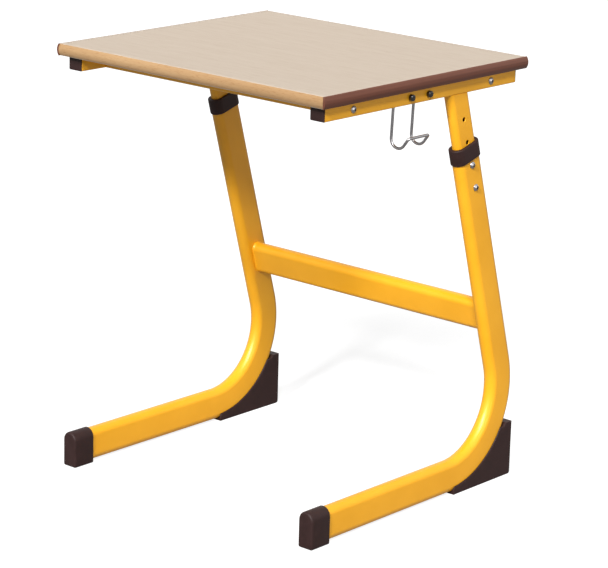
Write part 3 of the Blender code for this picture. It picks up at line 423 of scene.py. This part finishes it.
# Rear wedges
# A saddle block moulded in the same plastic fills the corner under each bend, so that
# the desk stands on a flat base. Its thin cheeks come up both sides of the tube.
cheek_radius = bend_radius + leg_depth / 2 - 0.011
wedge_half, wedge_edge, heel_radius = 0.0153, 0.0013, 0.005
land_height, step_height, land_length, step_length = 0.099, 0.093, 0.017, 0.023
nose_length = 0.002
wedge_front, wedge_back = (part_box("right_rear_wedge")[i].y for i in (0, 1))


def cheek_height(y):
    """Height of a cheek's edge: the land at the top, a step, then round the bend at the
    cheek's radius to the nose's small chamfer."""
    sweep = bend_middle[1] - np.sqrt(np.maximum(0, cheek_radius ** 2 - (y - bend_middle[0]) ** 2))
    nose_y = wedge_front + nose_length
    nose_top = bend_middle[1] - math.sqrt(cheek_radius ** 2 - (nose_y - bend_middle[0]) ** 2)
    land = np.interp(y, [wedge_back - step_length, wedge_back - land_length],
                     [step_height, land_height])
    return np.where(y < nose_y, nose_top + y - nose_y,
                    np.where(y > wedge_back - step_length, land, np.minimum(sweep, step_height)))


def wedge_ring(x):
    """Side outline of the wedge at a distance from its middle: base, rounded heel, back,
    then the cheek's edge, held down to the tube's underside where the tube lies."""
    base_y = np.linspace(wedge_front, wedge_back - heel_radius, 30)
    heel = np.linspace(-math.pi / 2, 0, 7)[1:]
    back_z = np.linspace(heel_radius, land_height, 16)[1:-1]
    shoulder_y = bend_middle[0] + math.sqrt(
        cheek_radius ** 2 - (bend_middle[1] - step_height) ** 2)
    top_y = np.concatenate([
        np.linspace(wedge_back, wedge_back - land_length, 6),
        np.linspace(wedge_back - land_length, wedge_back - step_length, 5)[1:],
        np.linspace(wedge_back - step_length, shoulder_y, 8)[1:],
        np.linspace(shoulder_y, wedge_front + nose_length, 44)[1:],
        [wedge_front + nose_length / 2, wedge_front]])
    top_z = cheek_height(top_y)
    if abs(x) < socket_radius:
        tube_radius = bend_radius + leg_flat + math.sqrt(socket_radius ** 2 - x ** 2)
        reached = np.minimum(np.abs(top_y - bend_middle[0]), tube_radius)
        under = bend_middle[1] - np.sqrt(tube_radius ** 2 - reached ** 2)
        top_z = np.minimum(top_z, under)
    return np.concatenate([
        np.stack([base_y, 0 * base_y], 1),
        np.stack([wedge_back - heel_radius * (1 - np.cos(heel)),
                  heel_radius * (1 + np.sin(heel))], 1),
        np.stack([np.full(len(back_z), wedge_back), back_z], 1),
        np.stack([top_y, top_z], 1),
    ])


def drawn_in(ring, reach):
    """A closed line moved inwards by reach, square to its own direction at each point."""
    along = np.roll(ring, -1, 0) - np.roll(ring, 1, 0)
    along /= np.linalg.norm(along, axis=1, keepdims=True)
    return ring + reach * np.stack([-along[:, 1], along[:, 0]], 1)


rounding = [(wedge_edge * (1 - math.sin(t)), wedge_edge * (1 - math.cos(t)))
            for t in np.linspace(0, math.pi / 2, 5)]
channel_x = [0, 0.003, 0.006, 0.0085, 0.0105, 0.0118, 0.0126, 0.01305, 0.0132]
half_rings = [(x, wedge_ring(x)) for x in channel_x]
half_rings += [(wedge_half - in_x, drawn_in(wedge_ring(wedge_half), in_yz))
               for in_x, in_yz in rounding]
cheek_hub = np.array([wedge_back - 0.03, 0.02])
half_rings.append((wedge_half, 0.9 * half_rings[-1][1] + 0.1 * cheek_hub))
half_rings.append((wedge_half, np.tile(cheek_hub, (len(half_rings[0][1]), 1))))
both_halves = [(-x, ring) for x, ring in half_rings[:0:-1]] + half_rings
wedge_surface = np.stack([np.concatenate([np.full((len(ring), 1), x), ring], 1)
                          for x, ring in both_halves])
for hand, side in hands:
    make_piece(f"{hand}_wedge_moulding", [skin(wedge_surface + np.array([side * post_x, 0, 0]))],
               black_plastic, "leg_frame", [f"{hand}_rear_wedge"], 50)


# Lock screws and thread inserts
# Two button-head screws with a cross recess go through the outer side of each leg into
# flanged thread inserts. They are backed off here, so that the post is free to slide.
upper_lock_length, lower_lock_length = leg_post_length - 0.0355, leg_post_length - 0.078


def plated_steel():
    """Bright zinc plate: small cloudy changes of tone and roughness over a metal base."""
    material, make, shader = blank_finish("zinc_steel", (0.42, 0.41, 0.42), 0.3, metallic=1.0)
    cloud = grainy(material, make, (1, 1, 1), 160, 4)
    two_tones(material, make, cloud, (0.38, 0.37, 0.38), (0.45, 0.44, 0.45), shader)
    roughness_range(material, make, cloud, 0.24, 0.34, shader)
    return material


zinc_steel = plated_steel()


def round_about(radius, height, count=48):
    """A turned surface: each row is a circle, or any ring whose radius is given for each
    angle, at its height. Returns points with the axis along the third number."""
    angle = np.linspace(0, 2 * math.pi, count, endpoint=False)
    radius = np.broadcast_to(radius, (len(radius), count)) if radius.ndim == 2 else radius[:, None]
    height = np.broadcast_to(np.asarray(height)[:, None], (len(height), count))
    return np.stack([radius * np.cos(angle), radius * np.sin(angle), height], -1)


def hexagon(apothem, count=48):
    """Radius of a hexagon at each angle: apothem over the cosine to the nearest flat."""
    angle = np.linspace(0, 2 * math.pi, count, endpoint=False)
    return apothem / np.cos((angle + math.pi / 6) % (math.pi / 3) - math.pi / 6)


def cross_shape(arm, half_width, count=48):
    """Radius of a plus shape at each angle: the nearer of the arm's end and its side."""
    angle = np.linspace(0, 2 * math.pi, count, endpoint=False)
    folded = np.abs((angle + math.pi / 4) % (math.pi / 2) - math.pi / 4)
    return np.minimum(arm / np.cos(folded), half_width / np.maximum(np.sin(folded), 1e-6))


def button_screw(recess, recess_depth, head_radius, crown, shank_radius, shank, count=48):
    """A domed screw as a turned surface. From the recess's floor up its wall, over a dome
    that falls by 78 hundredths of its height as the radius's share to the power 2.6, under
    the head and down the shank to a small chamfer."""
    flat = np.ones(count)
    dome = np.array([0.55, 0.7, 0.82, 0.91, 0.97, 1.0])
    seat, chamfer = 0.0003, 0.0008
    rows = [0 * flat, 0.5 * recess, recess * 0.96, recess]
    heights = [crown - recess_depth * 1.15, crown - recess_depth, crown - recess_depth,
               crown - 0.0001]
    for share in dome:
        rows.append(head_radius * share * flat)
        heights.append(crown * (1 - 0.78 * share ** 2.6))
    rows += [head_radius * flat, shank_radius * flat, shank_radius * flat,
             0.7 * shank_radius * flat, 0 * flat]
    heights += [seat, seat, -shank + chamfer, -shank, -shank]
    return round_about(np.stack(rows), heights, count)


def turned_to(surface, origin, across, deep, out):
    """The surface moved so that its three numbers run along across, deep and out."""
    return (np.asarray(origin) + surface[..., :1] * np.asarray(across)
            + surface[..., 1:2] * np.asarray(deep) + surface[..., 2:] * np.asarray(out))


def dress(node, finish):
    """A piece that keeps the model's own shape gets its finish."""
    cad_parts[node].data.materials[0] = finish


lock_screw_form = button_screw(cross_shape(0.0036, 0.0011), recess_depth=0.0030,
                               head_radius=0.0062, crown=0.0042, shank_radius=0.003, shank=0.0027)
for hand, side in hands:
    for level, length in (("upper", upper_lock_length), ("lower", lower_lock_length)):
        head = turned_to(lock_screw_form, on_post(side, length, leg_width / 2),
                         bar_up, bar_across, (side, 0, 0))
        make_piece(f"{hand}_{level}_lock_screw_head", [skin(head)], zinc_steel, "leg_frame",
                   [f"{hand}_{level}_lock_screw"])
        dress(f"{hand}_{level}_thread_insert", zinc_steel)


# Wedge screws
# One pan-head screw goes up through each wedge's base into the foot tube. The recess
# hides it, and it keeps the model's own shape in plated steel.
for hand, side in hands:
    dress(f"{hand}_wedge_screw", zinc_steel)


# Side rails
# Two rectangular tubes, 30 x 24 mm, run from front to rear under the top. Their outer
# faces lie flush with the posts, and black plugs close their ends.
rail_width, rail_height, rail_corner, rail_wall = 0.030, 0.024, 0.0022, 0.0015
rail_low, rail_high = (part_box("right_side_rail")[i] for i in (0, 1))
rail_middle_z = (rail_low.z + rail_high.z) / 2
rail_outer_x = rail_high.x
rail_x = rail_outer_x - rail_width / 2


def square_points(width, height, corner, steps=6):
    """A rectangle with round corners: a quarter turn about each corner's centre."""
    turn = np.linspace(0, math.pi / 2, steps)
    quarter = np.arange(4)[:, None] * math.pi / 2
    sign_x, sign_y = np.array([1, -1, -1, 1]), np.array([1, 1, -1, -1])
    x = sign_x[:, None] * (width / 2 - corner) + corner * np.cos(turn + quarter)
    y = sign_y[:, None] * (height / 2 - corner) + corner * np.sin(turn + quarter)
    return np.stack([x.ravel(), y.ravel()], 1)


for hand, side in hands:
    rail_y = np.array([rail_low.y, rail_low.y + end_row, rail_high.y - end_row, rail_high.y])
    rail_path = np.stack([0 * rail_y + side * rail_x, rail_y, 0 * rail_y + rail_middle_z], 1)
    rail_surface = along_path(square_points(rail_width, rail_height, rail_corner), rail_path,
                              np.tile([1.0, 0, 0], (4, 1)), np.tile([0, 0, 1.0], (4, 1)))
    make_piece(f"{hand}_side_rail_tube", [skin(rail_surface)], yellow_coat, "desk_frame",
               [f"{hand}_side_rail"], wall=rail_wall)


# Rail plugs
# Square plugs pushed into the ends of the side rails. Each has a thin face plate with
# eased edges and a stem that grips the tube's inside.
plug_least_corner = 0.0006
plug_insets = np.array([8, 1.6, 1, 0.5, 0.1, 0, 0, 2, 2, 2.6]) / 1000
plug_reaches = np.array([2, 2, 1.88, 1.6, 1.1, 0.6, 0.3, 0.3, -11, -12]) / 1000
for hand, side in hands:
    for where, end, direction in (("front", rail_low.y, -1), ("rear", rail_high.y, 1)):
        plug_rings = []
        for inset, reach in zip(plug_insets, plug_reaches):
            ring = square_points(rail_width - 2 * inset, rail_height - 2 * inset,
                                 max(plug_least_corner, rail_corner - inset))
            plug_rings.append(np.stack([side * rail_x + ring[:, 0],
                                        np.full(len(ring), end + direction * reach),
                                        rail_middle_z + ring[:, 1]], 1))
        plug_surface = np.stack(plug_rings)
        make_piece(f"{where}_{hand}_plug_moulding", [skin(ends_closed(plug_surface))],
                   black_plastic, "desk_frame", [f"{where}_{hand}_rail_plug"])


# Cross rails and end inserts
# Two tubes, 25 x 24 mm, tie the side rails together under the top. Threaded inserts
# welded in their ends take the bolts from outside, and they keep the model's shape.
cross_width, cross_gap = 0.025, 0.0002
cross_half = rail_outer_x - rail_width - cross_gap
for where in ("front", "rear"):
    low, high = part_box(f"{where}_cross_rail")
    cross_x = np.array([-cross_half, end_row - cross_half, cross_half - end_row, cross_half])
    cross_path = np.stack([cross_x, 0 * cross_x + (low.y + high.y) / 2,
                           0 * cross_x + rail_middle_z], 1)
    cross_surface = along_path(square_points(cross_width, rail_height, rail_corner), cross_path,
                               np.tile([0, 1.0, 0], (4, 1)), np.tile([0, 0, 1.0], (4, 1)))
    make_piece(f"{where}_cross_rail_tube", [skin(cross_surface)], yellow_coat, "desk_frame",
               [f"{where}_cross_rail"], wall=rail_wall)
    for hand, side in hands:
        dress(f"{where}_{hand}_end_insert", zinc_steel)


# Rail bolts
# Four plated button-head bolts with hexagon sockets clamp the side rails to the cross
# rails' ends.
rail_bolt_form = button_screw(hexagon(0.0024), recess_depth=0.0030, head_radius=0.0062,
                              crown=0.0042, shank_radius=0.003, shank=0.044)
for where in ("front", "rear"):
    low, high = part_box(f"{where}_cross_rail")
    for hand, side in hands:
        bolt = turned_to(rail_bolt_form, (side * rail_outer_x, (low.y + high.y) / 2, rail_middle_z),
                         (0, 1, 0), (0, 0, 1), (side, 0, 0))
        make_piece(f"{where}_{hand}_rail_bolt_head", [skin(bolt)], zinc_steel, "desk_frame",
                   [f"{where}_{hand}_rail_bolt"])


# Inner posts
# The post that slides in each leg is a flat-oval tube, 50 x 20 mm, welded under the side
# rail. Five 8 mm holes in its outer side set the heights.
inner_bottom = leg_post_length - 0.270
hole_radius, hole_step = 0.004, 0.0425
hole_lengths = lower_lock_length + hole_step * np.arange(-1, 4)
rail_under_z = rail_low.z - weld_gap


def cut_under_rail(deep):
    """How far up the axis the rail's underside is, for points that far to the rear."""
    return (rail_under_z - post_foot[1] - deep * math.sin(post_lean)) / math.cos(post_lean)


def post_skins(side):
    """The tube as a strip round all but its outer flat, and that flat as plain strips
    between square patches; in a patch, lines run from a hole's edge to the square's."""
    ray = np.radians(np.arange(0, 360, 7.5))
    cosine, sine = np.cos(ray), np.sin(ray)
    reach = flat_half / np.maximum(np.abs(cosine), np.abs(sine))
    edge = flat_half * np.tan(np.radians(np.arange(-45, 46, 7.5)))
    rows = np.sort(np.unique(np.round(np.concatenate(
        [[inner_bottom, inner_bottom + end_row]] + [hole + edge for hole in hole_lengths]), 7)))
    outline = oval_points(inner_width, inner_depth, 64)
    strip_rows = np.repeat(rows[:, None], len(outline), 1)
    cut = cut_under_rail(outline[:, 1])
    strip_rows = np.concatenate([strip_rows, cut[None] - end_row, cut[None]])
    strip = on_post(side, strip_rows, outline[None, :, 0], outline[None, :, 1])
    skins = [skin(strip, round_columns=False)]
    flat = np.ones((1, len(edge)))
    starts, stops = hole_lengths[:-1] + flat_half, hole_lengths[1:] - flat_half
    bands = [np.concatenate([start * flat, stop * flat]) for start, stop in zip(starts, stops)]
    bands += [np.concatenate([inner_bottom * flat, (inner_bottom + end_row) * flat,
                              (hole_lengths[0] - flat_half) * flat]),
              np.concatenate([(hole_lengths[-1] + flat_half) * flat,
                              cut_under_rail(edge)[None] - end_row, cut_under_rail(edge)[None]])]
    for band in bands:
        skins.append(skin(on_post(side, band, inner_width / 2, edge[None]), round_columns=False))
    share = np.array([0, 0.05, 0.3, 1])[:, None]
    radius = hole_radius + (reach - hole_radius) * share
    for hole in hole_lengths:
        patch = on_post(side, hole + radius * sine, inner_width / 2, radius * cosine)
        skins.append(skin(patch))
    return skins


for hand, side in hands:
    make_piece(f"{hand}_inner_post_tube", post_skins(side), yellow_coat, "desk_frame",
               [f"{hand}_inner_post"], wall=inner_wall)
    dress(f"{hand}_post_glide_plug", black_plastic)


# Table top boards
# The core is particle board with a pale wood-pattern laminate above and a backing sheet
# of the same below. The core keeps the model's shape, because its edges are all covered.


def chip_board():
    """Particle board: pressed chips a few millimetres long in changing browns."""
    material, make, shader = blank_finish("board", (0.42, 0.28, 0.16), 0.85)
    chips = grainy(material, make, (1, 1, 1.6), 260, 5, 0.7)
    two_tones(material, make, chips, (0.30, 0.19, 0.10), (0.55, 0.39, 0.24), shader)
    relief(material, make, chips, 0.0003, shader)
    return material


def multiplied(material, make, shader, base, over, share):
    """The base colour is the first ramp's, multiplied by the second's in that share."""
    blend = make("ShaderNodeMix")
    blend.data_type = "RGBA"
    blend.blend_type = "MULTIPLY"
    blend.inputs["Factor"].default_value = share
    join_nodes(material, (base, "Color", blend, 6), (over, "Color", blend, 7),
               (blend, 2, shader, "Base Color"))


def wood_laminate():
    """Pale wood pattern: long faint bands along X with short fine pores in them."""
    material, make, shader = blank_finish("laminate", (0.562, 0.472, 0.382), 0.64)
    bands = grainy(material, make, (2.2, 46, 1), 1.6, 4, 0.6)
    pores = grainy(material, make, (22, 620, 1), 1.0, 2, 0.5)
    band_ramp = colour_ramp(material, make, bands,
                            (0.30, (0.546, 0.453, 0.365)), (0.70, (0.578, 0.490, 0.400)))
    pore_ramp = colour_ramp(material, make, pores, (0.34, (0.90, 0.87, 0.83)), (0.46, (1, 1, 1)))
    multiplied(material, make, shader, band_ramp, pore_ramp, 0.8)
    roughness_range(material, make, bands, 0.60, 0.68, shader)
    shader.inputs["Specular IOR Level"].default_value = 0.2
    relief(material, make, pores, 0.00003, shader, 0.5)
    return material


pale_laminate = wood_laminate()
board = chip_board()
dress("top_core", board)
dress("top_backing_sheet", pale_laminate)
half_depth, half_width, half_thick = 0.265, 0.303, 0.0104
swell, strip_thickness, glue_gap = 0.004, 0.0045, 0.00005
edge_radius = (half_thick ** 2 + swell ** 2) / (2 * swell)
half_field = half_width - strip_thickness - glue_gap
top_middle_z = 0.76 - half_thick
top_middle_y = (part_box("front_beech_lipping")[0].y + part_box("rear_beech_lipping")[1].y) / 2


def swell_at(height):
    """How far the top's edges stand out at a height over its middle: a shallow arc, 4 mm
    at the middle and nothing at the upper and lower faces."""
    return swell - edge_radius + np.sqrt(edge_radius ** 2 - np.asarray(height) ** 2)


def laminate_sheet(low, high):
    """The sheet as rings of one rectangle, each given by its inset and its level: lower
    face, edge and upper face, cut slanting at front and rear to the swelled profile."""
    field, ease, corner = 0.01, 0.0003, 0.0003
    rings = []
    for inset, level in ((field, low), (ease, low), (0, low + 0.0001),
                         (0, high - 0.0001), (ease, high), (field, high)):
        outline = square_points(2 * (half_field - inset),
                                2 * (half_depth - swell + swell_at(level) - inset), corner, 3)
        rings.append(np.concatenate([outline + np.array([0, top_middle_y]),
                                     np.full((len(outline), 1), top_middle_z + level)], 1))
    return np.stack(rings)


make_piece("top_laminate_sheet", [skin(ends_closed(laminate_sheet(0.00965, half_thick)))],
           pale_laminate, "desk_frame", ["top_laminate"])


# Beech lippings
# Solid beech strips glued to the front and rear edges of the board, under the laminate,
# and shaped to a shallow swelled profile together with it.


def beech_wood():
    """Lacquered beech: long soft bands along X, and the short dark flecks of its rays."""
    material, make, shader = blank_finish("beech", (0.43, 0.262, 0.126), 0.42, coat=0.1)
    bands = grainy(material, make, (3.5, 90, 90), 1.0, 5, 0.6)
    flecks = grainy(material, make, (90, 900, 900), 1.0, 2, 0.5)
    band_ramp = colour_ramp(material, make, bands, (0.30, (0.385, 0.228, 0.105)),
                            (0.5, (0.43, 0.262, 0.126)), (0.72, (0.475, 0.302, 0.153)))
    fleck_ramp = colour_ramp(material, make, flecks, (0.36, (0.80, 0.70, 0.60)), (0.44, (1, 1, 1)))
    multiplied(material, make, shader, band_ramp, fleck_ramp, 0.7)
    roughness_range(material, make, bands, 0.38, 0.48, shader)
    shader.inputs["Specular IOR Level"].default_value = 0.3
    relief(material, make, flecks, 0.00004, shader, 0.5)
    return material


beech = beech_wood()


def lipping_ring():
    """Side view of a lipping between the two sheets: the swelled nose, then the flat
    upper side, the back against the core and the flat lower side."""
    half_height, middle_y, back_y = 0.0096, half_depth - 0.012, half_depth - 0.0199
    level = np.linspace(-half_height, half_height, 41)
    nose = np.stack([half_depth - swell + swell_at(level), level], 1)
    back = np.array([(middle_y, half_height), (back_y, half_height),
                     (back_y, -half_height), (middle_y, -half_height)])
    return np.concatenate([nose, back])


lipping_x = np.linspace(-half_field, half_field, 25)
for where, direction in (("front", -1), ("rear", 1)):
    ring = lipping_ring() * np.array([direction, 1]) + np.array([top_middle_y, top_middle_z])
    lipping_surface = np.stack([np.concatenate([np.full((len(ring), 1), x), ring], 1)
                                for x in lipping_x])
    make_piece(f"{where}_lipping_wood", [skin(ends_closed(lipping_surface))], beech, "desk_frame",
               [f"{where}_beech_lipping"])


# Edge strips
# Dark brown strips, 4.5 mm thick at their middle, cover the left and right edges from
# front to rear. Their outer side is swelled as the beech is, and their ends are cut square.


def brown_strip():
    """Extruded brown edging: faint long streaks along Y in a satin surface."""
    material, make, shader = blank_finish("brown_edge", (0.135, 0.047, 0.028), 0.42)
    streaks = grainy(material, make, (60, 3, 300), 1.0, 3, 0.6)
    two_tones(material, make, streaks, (0.11, 0.037, 0.022), (0.16, 0.057, 0.034), shader)
    roughness_range(material, make, streaks, 0.36, 0.48, shader)
    shader.inputs["Specular IOR Level"].default_value = 0.3
    return material


brown_edge = brown_strip()


def strip_ring(level, inset):
    """The strip's outline in plan at a height over the top's middle: its outer side
    stands out by the swell, and small round corners join it to the ends."""
    least = strip_thickness - swell
    reach = least + swell_at(level)
    ring = square_points(reach - inset, 2 * (half_depth - inset),
                         min(least, (reach - inset) * 0.4))
    return ring + np.array([half_width - strip_thickness + reach / 2, top_middle_y])


# The two outer rings are drawn in a little, which eases the strip's long edges.
strip_ease = 0.0001
strip_rows = [(-half_thick, strip_ease)]
strip_rows += [(level, 0) for level in np.linspace(-0.0103, 0.0103, 29)]
strip_rows.append((half_thick, strip_ease))
for hand, side in hands:
    strip_surface = np.stack([
        np.concatenate([ring * np.array([side, 1]),
                        np.full((len(ring), 1), top_middle_z + level)], 1)
        for ring, level in ((strip_ring(level, ease), level) for level, ease in strip_rows)
    ])
    make_piece(f"{hand}_edge_strip_band", [skin(ends_closed(strip_surface))], brown_edge,
               "desk_frame", [f"{hand}_edge_strip"])


# Top screws
# Six pan-head screws with cross recesses hold the top from below, through the rails.
# Their shanks pass through the rails into the core.
top_screw_crown = 0.0022
top_screw_form = button_screw(cross_shape(0.0021, 0.0006), recess_depth=0.0012,
                              head_radius=0.0042, crown=top_screw_crown, shank_radius=0.002,
                              shank=0.0372)
for number in range(1, 7):
    low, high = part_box(f"top_screw_{number}")
    centre = ((low.x + high.x) / 2, (low.y + high.y) / 2, low.z + top_screw_crown)
    screw = turned_to(top_screw_form, centre, (1, 0, 0), (0, -1, 0), (0, 0, -1))
    make_piece(f"top_screw_{number}_head", [skin(screw)], zinc_steel, "desk_frame",
               [f"top_screw_{number}"])


# Bag hook
# One zinc-plated wire, 5 mm thick. Both ends are bent to eyes on the rail's bolts, two
# legs hang down, and the loop between them turns up into a hook with a bar at its tip.
wire_radius = 0.0025
hook_x_top = rail_outer_x - rail_width - wire_radius - 0.0003
bolt_y = [(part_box(f"{where}_hook_bolt")[0].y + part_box(f"{where}_hook_bolt")[1].y) / 2
          for where in ("front", "rear")]
hook_middle_y = sum(bolt_y) / 2
eye_radius, neck_radius, crook_radius, tip_radius = 0.0065, 0.003, 0.015, 0.004
crook_drop, crook_inset, crook_sweep, prong_length = 0.073, 0.0027, 143, 0.0165
hook_bolt_offset = (bolt_y[1] - bolt_y[0]) / 2


def turning(centre, radius, start, sweep, steps):
    """Points of an arc in a plane, from the start angle through the sweep."""
    angle = np.radians(np.linspace(start, start + sweep, steps))
    return np.stack([centre[0] + radius * np.cos(angle), centre[1] + radius * np.sin(angle)], 1)


def half_hook():
    """The wire's middle line on the side at -Y, as offsets from the hook's middle plane:
    eye, neck, leg, crook, and half of the bar at the tip."""
    eye = turning((-hook_bolt_offset, rail_middle_z), eye_radius, 190, -280, 40)
    neck = turning((-hook_bolt_offset, rail_middle_z - eye_radius - neck_radius),
                   neck_radius, 90, 90, 10)[1:]
    flat = np.concatenate([eye, neck])
    upper = np.concatenate([np.full((len(flat), 1), hook_x_top), flat], 1)
    leg_y = -hook_bolt_offset - neck_radius
    crook = turning((hook_x_top - crook_inset + crook_radius, rail_middle_z - crook_drop),
                    crook_radius, 180, crook_sweep, 48)
    share = np.linspace(0, 1, 14)[1:-1, None]
    leg = upper[-1] + (np.array([crook[0, 0], leg_y, crook[0, 1]]) - upper[-1]) * share
    lower = np.stack([crook[:, 0], np.full(len(crook), leg_y), crook[:, 1]], 1)
    rise = math.radians(crook_sweep - 90)
    heading = np.array([math.cos(rise), 0, math.sin(rise)])
    tip = lower[-1] + prong_length * heading
    turn = np.radians(np.linspace(0, 90, 10))[:, None]
    corner = tip - heading * tip_radius * (1 - np.sin(turn)) + np.array(
        [0, 1, 0]) * tip_radius * (1 - np.cos(turn))
    return np.concatenate([upper, leg, lower, corner])


half = half_hook()
bar_share = np.linspace(0, 1, 12)[1:-1, None]
mirrored = half[::-1] * np.array([1, -1, 1])
tip_bar = half[-1] + (mirrored[0] - half[-1]) * bar_share
wire_line = np.concatenate([half, tip_bar, mirrored]) + np.array([0, hook_middle_y, 0])
heading = np.gradient(wire_line, axis=0)
heading /= np.linalg.norm(heading, axis=1, keepdims=True)
wire_across = np.cross(heading, np.array([0.69, 0.69, 0.21]))
wire_across /= np.linalg.norm(wire_across, axis=1, keepdims=True)
wire_deep = np.cross(heading, wire_across)
wire_turn = np.linspace(0, 2 * math.pi, 24, endpoint=False)
wire_ring = wire_radius * np.stack([np.cos(wire_turn), np.sin(wire_turn)], 1)
wire_surface = ends_closed(along_path(wire_ring, wire_line, wire_across, wire_deep))
make_piece("bag_hook_wire", [skin(wire_surface)], zinc_steel, "desk_frame",
           ["bag_hook"])


# Hook bolts, washers and nuts
# Two bolts with smooth black domed caps clamp the hook's eyes inside the rail, with a
# plated washer and a hexagon nut on each.


def blackened_steel():
    """Black oxide under a thin oily shine, with small cloudy changes of roughness."""
    material, make, shader = blank_finish("black_steel", (0.008, 0.006, 0.007), 0.15, coat=0.5)
    cloud = grainy(material, make, (1, 1, 1), 300, 3)
    two_tones(material, make, cloud, (0.006, 0.005, 0.005), (0.010, 0.008, 0.008), shader)
    roughness_range(material, make, cloud, 0.12, 0.18, shader)
    return material


black_steel = blackened_steel()
cap_head_radius, cap_head_height, cap_round, hook_bolt_radius = 0.0058, 0.0072, 0.0026, 0.003
dome_turn = np.linspace(0, math.pi / 2, 9)
cap_rows = np.concatenate([[0], (cap_head_radius - cap_round) + cap_round * np.sin(dome_turn),
                           [cap_head_radius, cap_head_radius - 0.0004, hook_bolt_radius,
                            hook_bolt_radius, 0]])
shank_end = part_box("front_hook_bolt")[0].x - rail_outer_x
cap_heights = np.concatenate([[cap_head_height],
                              cap_head_height - cap_round * (1 - np.cos(dome_turn)),
                              [0.0007, 0.0003, 0.0003, shank_end, shank_end]])
bore_radius, washer_radius, nut_chamfer = 0.0033, 0.0065, 0.0006
nut_ring = hexagon(0.005)
nut_rim = np.minimum(nut_ring, 0.0053)
bore = np.full(len(nut_ring), bore_radius)
for where, y in zip(("front", "rear"), bolt_y):
    at = np.array([rail_outer_x, y, rail_middle_z])
    cap = turned_to(round_about(cap_rows, cap_heights), at, (0, 1, 0), (0, 0, 1), (1, 0, 0))
    make_piece(f"{where}_hook_bolt_cap", [skin(cap)], black_steel, "desk_frame",
               [f"{where}_hook_bolt"])
    washer_low, washer_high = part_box(f"{where}_hook_washer")
    thickness = washer_high.x - washer_low.x
    washer_line = eased([(bore_radius, 0), (washer_radius, 0), (washer_radius, thickness),
                         (bore_radius, thickness)], 0.0002, 4)
    washer = turned_to(round_about(washer_line[:, 0], washer_line[:, 1]),
                       (washer_low.x, y, rail_middle_z), (0, 1, 0), (0, 0, 1), (1, 0, 0))
    make_piece(f"{where}_hook_washer_ring", [skin(washer, True)], zinc_steel, "desk_frame",
               [f"{where}_hook_washer"])
    nut_low, nut_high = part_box(f"{where}_hook_nut")
    nut_height = nut_high.x - nut_low.x
    nut_rows = np.stack([bore, nut_rim, nut_ring, nut_ring, nut_rim, bore])
    nut_heights = [0, 0, nut_chamfer, nut_height - nut_chamfer, nut_height, nut_height]
    nut = turned_to(round_about(nut_rows, nut_heights), (nut_low.x, y, rail_middle_z),
                    (0, 1, 0), (0, 0, 1), (1, 0, 0))
    make_piece(f"{where}_hook_nut_hexagon", [skin(nut, True)], zinc_steel, "desk_frame",
               [f"{where}_hook_nut"], 25)


# Floor and studio light
# A pale floor out to the horizon. One soft light comes from the front, half high, one
# from between the front and the right, and a wide weak one from low on the right.
# The floor glows for the camera alone, so that it is pale but throws little light up, and
# the surround is bright where it is seen or mirrored and weak where it lights.
floor_reach, floor_glow = 30, 0.86
floor_mesh = bpy.data.meshes.new("floor")
floor_mesh.from_pydata([(x * floor_reach, y * floor_reach, 0)
                        for x, y in ((-1, -1), (1, -1), (1, 1), (-1, 1))], [], [(0, 1, 2, 3)])
floor = bpy.data.objects.new("floor", floor_mesh)
bpy.context.scene.collection.objects.link(floor)
floor_finish, make, shader = blank_finish("floor", (0.30, 0.30, 0.30), 0.9)
shader.inputs["Specular IOR Level"].default_value = 0.0
seen = make("ShaderNodeLightPath")
lift = make("ShaderNodeMath")
lift.operation = "MULTIPLY"
lift.inputs[1].default_value = floor_glow
shader.inputs["Emission Color"].default_value = (1, 1, 1, 1)
join_nodes(floor_finish, (seen, "Is Camera Ray", lift, 0), (lift, 0, shader, "Emission Strength"))
floor_mesh.materials.append(floor_finish)

world = bpy.data.worlds.new("studio")
world.use_nodes = True
bpy.context.scene.world = world
surround = world.node_tree.nodes["Background"]
surround.inputs["Color"].default_value = (1, 1, 1, 1)
path = world.node_tree.nodes.new("ShaderNodeLightPath")
camera_or_glossy, or_through = (world.node_tree.nodes.new("ShaderNodeMath") for _ in range(2))
camera_or_glossy.operation = or_through.operation = "MAXIMUM"
strength = world.node_tree.nodes.new("ShaderNodeMapRange")
strength.inputs["To Min"].default_value = 0.11
strength.inputs["To Max"].default_value = 1.0
join_nodes(world, (path, "Is Camera Ray", camera_or_glossy, 0),
           (path, "Is Glossy Ray", camera_or_glossy, 1),
           (camera_or_glossy, 0, or_through, 0), (path, "Is Transmission Ray", or_through, 1),
           (or_through, 0, strength, "Value"), (strength, 0, surround, "Strength"))


def soft_sun(name, toward, power, spread):
    """A distant light from the given direction, as wide as spread degrees."""
    data = bpy.data.lights.new(name, "SUN")
    data.energy = power
    data.angle = math.radians(spread)
    sun = bpy.data.objects.new(name, data)
    bpy.context.scene.collection.objects.link(sun)
    out = np.asarray(toward, float) / np.linalg.norm(toward)
    aside = np.cross([0, 1, 0], out)
    aside /= np.linalg.norm(aside)
    place = np.eye(4)
    place[:3, :3] = np.array([aside, np.cross(out, aside), out]).T
    sun.matrix_world = Matrix(place.tolist())


soft_sun("front_light", (0.26, -1.0, 0.71), 3.05, 7)
soft_sun("right_light", (0.70, -0.85, 1.00), 2.2, 10)
soft_sun("side_light", (1.0, -0.10, 0.30), 0.55, 36)
bpy.context.scene.view_settings.view_transform = "Standard"
